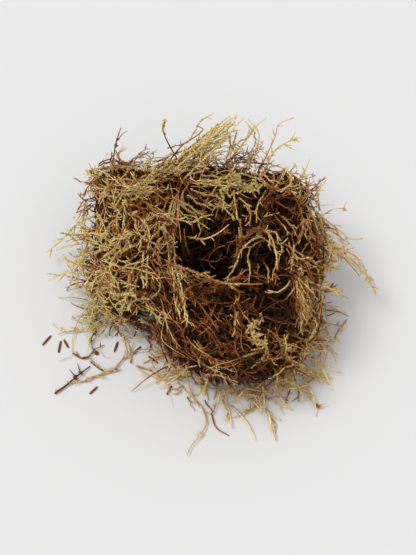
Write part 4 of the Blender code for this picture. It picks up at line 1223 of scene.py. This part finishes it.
        ("yellow", [(39, -75, 2), (43, -78, 2), (50, -81, 1.5)]),
        ("brown", [(56, -68, 2), (56, -77, 1.5)]), ("brown", [(51, -70, 2), (48, -78, 1.5)]),
        ("tan", [(54, -65, 4), (61, -72, 3), (66, -77, 2), (71, -81, 2)]),
        ("green", [(59, -63, 4), (67, -61, 4), (74, -60, 3)]),
        ("green", [(61, -65, 3), (68, -64, 3), (74, -62, 2)]),
        ("olive", [(-17, -63, 4), (-14, -57, 7), (-11, -54, 9)]),
        ("tan", [(-17, -64, 3), (-20, -57, 5), (-17, -54, 7)]),
        ("tan", [(-17, -64, 3), (-9, -61, 5), (-1, -62, 6)]),
        ("tan", [(-17, -63, 3), (-24, -59, 4), (-28, -54, 6)]),
        ("green", [(-19, -65, 3), (-15, -69, 2), (-11, -73, 1.5)]),
        ("orange", [(-6, -65, 4), (3, -69, 4), (12, -69, 4), (21, -68, 5)]),
        ("tan", [(-1, -59, 8), (9, -60, 8), (17, -65, 6)]),
        ("orange", [(17, -71, 4), (11, -73, 3), (6, -78, 2)]),
        ("tan", [(21, -69, 5), (26, -73, 3), (27, -81, 2)]),
        ("orange", [(27, -71, 4), (35, -75, 3), (43, -74, 3), (51, -75, 2)]),
        ("tan", [(42, -64, 7), (50, -60, 8), (59, -55, 10)]),
        ("tan", [(40, -67, 6), (49, -64, 6), (58, -59, 8)]),
        ("rust", [(45, -59, 9), (52, -54, 11), (61, -51, 12)]),
        ("tan", [(37, -62, 8), (46, -56, 10), (55, -52, 12)]),
        ("orange", [(33, -67, 5), (40, -71, 4), (47, -70, 4)]),
        ("olive", [(50, -66, 5), (57, -70, 3), (63, -68, 3)]),
        ("tan", [(71, -42, 12), (77, -46, 8), (79, -52, 4)]),
        ("olive", [(66, -29, 20), (74, -36, 12), (82, -41, 6)]),
        ("tan", [(69, -15, 28), (73, -23, 20), (76, -32, 12)]),
        ("tan", [(86, -26, 3), (81, -33, 4), (79, -40, 4)]),
        ("rust", [(68, -39, 14), (71, -45, 9), (67, -51, 6)]),
        ("tan", [(57, -46, 14), (64, -50, 9), (71, -54, 5)]),
    ],
}


def follow(route, lift):
    # Places with no height lie on the mound, or beyond its outline as far off as their neighbours
    if len(route[0]) == 3:
        return np.array([inFront(*knot) for knot in smoothRoute(route, strand["step"])])
    sights = []
    reaches = []
    for across, up, _ in smoothRoute([(*knot, 0) for knot in route], strand["step"]):
        laid = onMound(across, up, lift)
        sights.append(sightThrough(across, up))
        reaches.append(np.nan if laid is None else (laid - eye).length)
    reaches = np.array(reaches)
    hits = np.flatnonzero(~np.isnan(reaches))
    reaches = np.interp(np.arange(len(reaches)), hits, reaches[hits])
    for _ in range(5):
        reaches[1:-1] = (reaches[:-2] + 2 * reaches[1:-1] + reaches[2:]) / 4
    points = [eye + sight * reach for sight, reach in zip(sights, reaches)]
    return np.array([eye + sight * (1.0 - eye.z) / sight.z if point.z < 1 else point
                     for sight, point in zip(sights, points)])


# How far copies stray from the strand they run beside, and how the strands of a group differ
tracedLie = {"knotScatter": 1.0, "lower": 1.5, "waver": 0.28, "tintScatter": 0.03, "copyScatter": 0.05,
             "tints": (0.05, 0.97), "gloom": 0.2, "copyPaintedShade": 0.8, "widths": (0.85, 1.15)}


def makeTraced(material):
    for number, (name, rows) in enumerate(traces.items()):
        group = tracedGroups[name]
        lie = tracedLie
        draw = np.random.default_rng(40 + number)
        bundle = Bundle(60 + number)
        for kind, route in rows:
            look = strandKinds[kind]
            spec = {**look, **twigHabit, **group.get("habit", {})}
            for copy in range(1 + group["copies"]):
                moved = route
                if copy:
                    shift = draw.normal(0, group["stray"], 2)
                    moved = [(*(np.array(knot[:2]) + shift + draw.normal(0, lie["knotScatter"], 2)),
                              *knot[2:]) for knot in route]
                lift = draw.uniform(*group["lift"]) - (lie["lower"] if copy else 0)
                if len(route[0]) == 2 and not any(onMound(*knot, 0) for knot in moved):
                    continue
                path = follow(moved, lift)
                path[1:-1] += draw.normal(0, lie["waver"], (len(path) - 2, 3))
                scatter = lie["tintScatter"] + lie["copyScatter"] * bool(copy)
                tint = look["tint"] + draw.normal(0, scatter)
                gloom = lie["copyPaintedShade"] if copy else group.get("gloom", lie["gloom"])
                bundle.add(path, look["width"] * draw.uniform(*lie["widths"]), leaf=look["leaf"],
                           tint=float(np.clip(tint, *lie["tints"])), gloom=gloom)
                branch(bundle, path, spec, draw, tint, plane=np.array(towardsViewer), gloom=gloom)
        bundle.make(name + "Strands", material, ["moss_mound"])


makeTraced(mattedMoss)
print("stage: traced strands")

# Looser strands round the foot and along the edges: patches of them by across, up, radius and
# number. Flat ones sink to the table.
mats = {
    "leftMat": {"patches": [(-68, -11, 7, 12), (-62, -17, 6, 8), (-54, -27, 6, 4), (-46, -33, 5, 4),
        (-72, -17, 6, 10), (-69, -27, 6, 12), (-62, -32, 5, 6), (-73, -7, 6, 7), (-36, -35, 5, 4),
        (-67, -28, 5, 4), (-27, -43, 6, 5), (-22, -52, 5, 5)], "height": (0.8, 13), "length": (8, 22),
        "width": 0.75, "leaf": 1.1, "leafy": 0.6, "spread": 2.5, "flat": True,
        "moods": ((0.45, 0.76, 0.05), (0.38, 0.88, 0.04), (0.1, 0.42, 0.05), (0.07, 0.24, 0.05))},
    # The front mat's paler moods are partly painted light, against the mound's shadow on it
    "frontMat": {"patches": [(-33, -51, 6, 2), (-24, -52, 6, 5), (-14, -53, 7, 8), (-2, -54, 7, 9),
        (10, -55, 7, 8), (23, -57, 7, 8), (35, -58, 7, 7), (48, -55, 7, 6), (58, -51, 6, 5),
        (66, -45, 6, 3), (71, -38, 6, 2), (2, -64, 7, 4), (14, -67, 7, 4), (26, -69, 7, 4),
        (38, -69, 7, 4), (50, -65, 6, 4), (61, -59, 6, 3), (18, -77, 6, 2), (34, -78, 6, 2)],
        "height": (0.8, 8), "length": (10, 28), "width": 1.35, "leaf": 1.0, "leafy": 0.35,
        "twiggy": 0.25, "spread": 1.5, "flat": True, "moods": ((0.24, 0.66, 0.03), (0.38, 0.75, 0.03),
        (0.18, 0.88, 0.04), (0.13, 0.5, 0.05), (0.07, 0.34, 0.05))},
    "footMat": {"patches": [(-12, -45, 6, 6), (0, -46, 6, 8), (12, -47, 6, 8), (24, -47, 6, 8),
        (36, -47, 6, 9), (46, -46, 6, 8)], "height": (4, 24), "length": (10, 26), "width": 1.0,
        "leaf": 0.9, "leafy": 0.35, "spread": 1.2, "flat": False, "moods": ((0.36, 0.64, 0.04),
        (0.22, 0.73, 0.04), (0.08, 0.86, 0.04), (0.26, 0.46, 0.05), (0.08, 0.3, 0.05))},
    "rightMat": {"patches": [(55, -33, 5, 18), (61, -37, 5, 17), (66, -39, 4, 7), (58, -43, 5, 16),
        (48, -46, 6, 12), (64, -31, 4, 6), (67, -14, 5, 11), (70, -22, 5, 8), (66, -27, 5, 8)],
        "height": (1.5, 16), "length": (8, 17), "width": 0.9, "leaf": 0.9, "leafy": 0.3, "spread": 3.0,
        "flat": True, "moods": ((0.08, 0.62, 0.05), (0.05, 0.85, 0.04), (0.43, 0.4, 0.05),
        (0.44, 0.28, 0.05))},
    "cornerPad": {"patches": [(-67, 63, 5, 7), (-57, 65, 5, 7), (-46, 66, 6, 8), (-35, 68, 6, 8),
        (-25, 68, 6, 8), (-64, 57, 5, 10), (-52, 60, 6, 12)], "height": (48, 62), "length": (8, 22),
        "width": 0.8, "leaf": 1.1, "leafy": 0.7, "spread": 2.5, "flat": False,
        "moods": ((0.55, 0.73, 0.05), (0.15, 0.87, 0.04), (0.2, 0.42, 0.05), (0.1, 0.24, 0.05))},
    "rimPad": {"patches": [(18, 66, 6, 10), (30, 63, 6, 9), (42, 57, 6, 9), (54, 51, 6, 4),
        (62, 44, 5, 3), (5, 65, 6, 9), (-8, 65, 6, 9)], "height": (44, 56), "length": (8, 20),
        "width": 0.85, "leaf": 1.0, "leafy": 0.6, "spread": 2.5, "flat": False,
        "moods": ((0.42, 0.64, 0.05), (0.06, 0.87, 0.04), (0.34, 0.4, 0.05), (0.18, 0.26, 0.05))},
}


# How the strands of a mat lie: their bends, how they rise in the middle and sink to the table
matLie = {"bend": 0.07, "waver": 0.05, "rise": (0, 3), "sink": 0.8, "sag": 5, "middle": (0, -5),
          "widths": (0.7, 1.2), "twiggy": 0.5, "twigEvery": 5.0, "darkest": 0.05}


def makeMats(material):
    for number, (name, spec) in enumerate(mats.items()):
        draw = np.random.default_rng(80 + number)
        bundle = Bundle(90 + number)
        for across, up, radius, count in spec["patches"]:
            for _ in range(count):
                angle = draw.uniform(0, 2 * math.pi)
                reach = radius * draw.uniform(0, 1) ** 0.5
                low, high = spec["height"]
                height = low + (high - low) * draw.uniform() ** 2
                start = np.array(onPlane(across + reach * math.cos(angle),
                                         up + reach * math.sin(angle), height))
                outward = math.atan2(start[1] - matLie["middle"][1], start[0] - matLie["middle"][0])
                heading = outward + draw.normal(0, spec["spread"])
                bend = draw.normal(0, matLie["bend"])
                length = draw.uniform(*spec["length"])
                steps = max(3, round(length / strand["step"]))
                rise = draw.uniform(*matLie["rise"])
                sink = matLie["sink"] * height if spec["flat"] else draw.normal(0, matLie["sag"])
                points = []
                place = start.copy()
                for step in range(steps + 1):
                    share = step / steps
                    place[2] = height - sink * share + rise * math.sin(math.pi * share)
                    points.append(place.copy())
                    heading += bend + draw.normal(0, matLie["waver"])
                    place += strand["step"] * np.array((math.cos(heading), math.sin(heading), 0))
                tint = drawTint(spec["moods"], draw, matLie["darkest"])
                bundle.add(points, spec["width"] * draw.uniform(*matLie["widths"]), tint=tint,
                           leaf=spec["leaf"] * (draw.uniform() < spec["leafy"]))
                if draw.uniform() < spec.get("twiggy", matLie["twiggy"]):
                    habit = {**twigHabit, "twigEvery": matLie["twigEvery"]}
                    branch(bundle, np.array(points), habit, draw, tint, plane=np.array((0, 0, 1)))
        bundle.make(name, material, ["moss_mound"])


makeMats(mattedMoss)
print("stage: mats")

# The leafy tufts: short fresh sprigs crowded along one short shoot, the last of them greener
tufts = {
    "centreTuft": {"route": [(16, 61), (21, 57), (27, 55), (32, 58)], "count": 64, "crowd": 2.6,
        "length": (3, 6), "tints": (0.82, 0.86), "leaf": 1.3, "width": 0.7, "crowded": 1.0},
    "creamTuft": {"route": [(32, -26), (27, -33), (32, -39), (36, -43), (34, -50), (27, -56)],
        "count": 58, "crowd": 1.8, "length": (2.5, 5), "tints": (0.7, 0.9), "leaf": 1.25, "width": 0.7,
        "crowded": 0.55},
}


# How the sprigs of a tuft stand on its two stems, the whole one and its tip
tuftHabit = {"lift": 3.5, "stem": {"width": 1.2, "leaf": 1.6}, "tipStem": {"width": 1.3, "leaf": 1.7},
             "forward": 0.6, "curl": 0.3, "steps": 4, "tintScatter": 0.03, "gloom": 0.2}


def makeTufts(material):
    for number, (name, spec) in enumerate(tufts.items()):
        draw = np.random.default_rng(120 + number)
        bundle = Bundle(130 + number)
        habit = tuftHabit
        path = follow(spec["route"], habit["lift"])
        first, last = spec["tints"]
        bundle.add(path, **habit["stem"], tint=first, gloom=habit["gloom"])
        bundle.add(path[len(path) // 2:], **habit["tipStem"], tint=last, gloom=habit["gloom"])
        for _ in range(spec["count"]):
            share = draw.uniform(0, spec["crowded"])
            start = path[int(share * (len(path) - 1))] + draw.normal(0, spec["crowd"] / 2, 3)
            way = unit(draw.normal(0, 1, 3) + habit["forward"] * np.array(towardsViewer))
            length = draw.uniform(*spec["length"])
            bend = draw.normal(0, habit["curl"], 3)
            points = [start]
            for _ in range(habit["steps"]):
                points.append(points[-1] + way * length / habit["steps"])
                way = unit(way + bend)
            tint = first + (last - first) * share + draw.normal(0, habit["tintScatter"])
            bundle.add(points, spec["width"], leaf=spec["leaf"], tint=float(tint), gloom=habit["gloom"])
        bundle.make(name, material, ["moss_mound"])


makeTufts(mattedMoss)
print("stage: tufts")

# Needles and a seed that dropped from trees lie beside the clump: middle across and up, bearing,
# length. They are places and sizes of the solids.
litter = {
    "needles": [(-100, -39, 56, 9), (-92, -43, 84, 9), (-88, -41, 118, 7), (-70, -34, 48, 6),
                (-69, -55, 140, 11), (-57, -43, 76, 8), (-44, -45, 48, 7), (-34, -51, 141, 8),
                (-24, -70, 66, 7), (-71, -70, 49, 7)],
    "needleWidth": 1.5, "needleThickness": 0.9, "gap": 0.15, "bluntness": 0.4, "ends": 0.05,
    "groove": 0.25, "grooveWidth": 0.15,
    "seed": (-69, -47, 20), "seedSize": (2.9, 2.2, 1.8),
    "needleColours": ((0.040, 0.013, 0.005), (0.240, 0.066, 0.022)), "seedColour": (0.075, 0.015, 0.008),
    "grain": 220.0, "detail": 3.0, "roughness": 0.6, "shine": 0.2,
}


def litterMaterial(name, dark, light):
    # Dry bark brown, redder in long streaks
    material = bpy.data.materials.new(name)
    material.use_nodes = True
    shader = material.node_tree.nodes["Principled BSDF"]
    start = Wire(material.node_tree)
    place = start.node("ShaderNodeTexCoord", {}, {}, out=3)
    grain = start.node("ShaderNodeTexNoise", {},
                       {"Vector": place, "Scale": litter["grain"], "Detail": litter["detail"]})
    colour = start.node("ShaderNodeMix", {"data_type": "RGBA"},
                        {0: grain, 6: (*dark, 1), 7: (*light, 1)}, out=2)
    colour.feed(shader, "Base Color")
    shader.inputs["Roughness"].default_value = litter["roughness"]
    shader.inputs["Specular IOR Level"].default_value = litter["shine"]
    return material


def layDown(bm, name, across, up, bearing, size, material):
    # Scales, turns and places a body of unit size on the table, as the piece of its node
    length, width, thickness = size
    spot = onPlane(across, up, thickness / 2 + litter["gap"])
    bmesh.ops.scale(bm, vec=(length, width, thickness), verts=bm.verts)
    bmesh.ops.rotate(bm, cent=(0, 0, 0), matrix=Matrix.Rotation(math.radians(bearing), 3, "Z"),
                     verts=bm.verts)
    bmesh.ops.translate(bm, vec=spot, verts=bm.verts)
    bmesh.ops.scale(bm, vec=(mm, mm, mm), verts=bm.verts)
    bmesh.ops.recalc_face_normals(bm, faces=bm.faces)
    mesh = bpy.data.meshes.new(name)
    bm.to_mesh(mesh)
    bm.free()
    mesh.materials.append(material)
    for face in mesh.polygons:
        face.use_smooth = True
    piece = bpy.data.objects.new("dry_" + name, mesh)
    bpy.context.scene.collection.objects.link(piece)
    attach(piece, "root")
    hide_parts(name)


def makeLitter():
    brown = litterMaterial("dryNeedle", *litter["needleColours"])
    seedBrown = litterMaterial("drySeed", litter["seedColour"], litter["needleColours"][1])
    for number, (across, up, bearing, length) in enumerate(litter["needles"], 1):
        bm = bmesh.new()
        bmesh.ops.create_uvsphere(bm, u_segments=10, v_segments=9, radius=0.5)
        bmesh.ops.rotate(bm, cent=(0, 0, 0), matrix=Matrix.Rotation(math.pi / 2, 3, "Y"),
                         verts=bm.verts)
        for vertex in bm.verts:
            # Blunt ends, and a groove along the top
            reach = abs(vertex.co.x) * 2
            full = (1 - reach ** 2) ** 0.5 if reach < 1 else 0
            swell = (full ** litter["bluntness"]) / full if full > litter["ends"] else 1
            vertex.co.y *= swell
            vertex.co.z *= swell
            if vertex.co.z > 0:
                vertex.co.z *= 1 - litter["groove"] * math.exp(-(vertex.co.y / litter["grooveWidth"]) ** 2)
        size = (length, litter["needleWidth"], litter["needleThickness"])
        layDown(bm, f"needle_{number}", across, up, bearing, size, brown)
    across, up, bearing = litter["seed"]
    bm = bmesh.new()
    bmesh.ops.create_uvsphere(bm, u_segments=12, v_segments=9, radius=0.5)
    layDown(bm, "seed", across, up, bearing, litter["seedSize"], seedBrown)


makeLitter()
print("stage: litter")
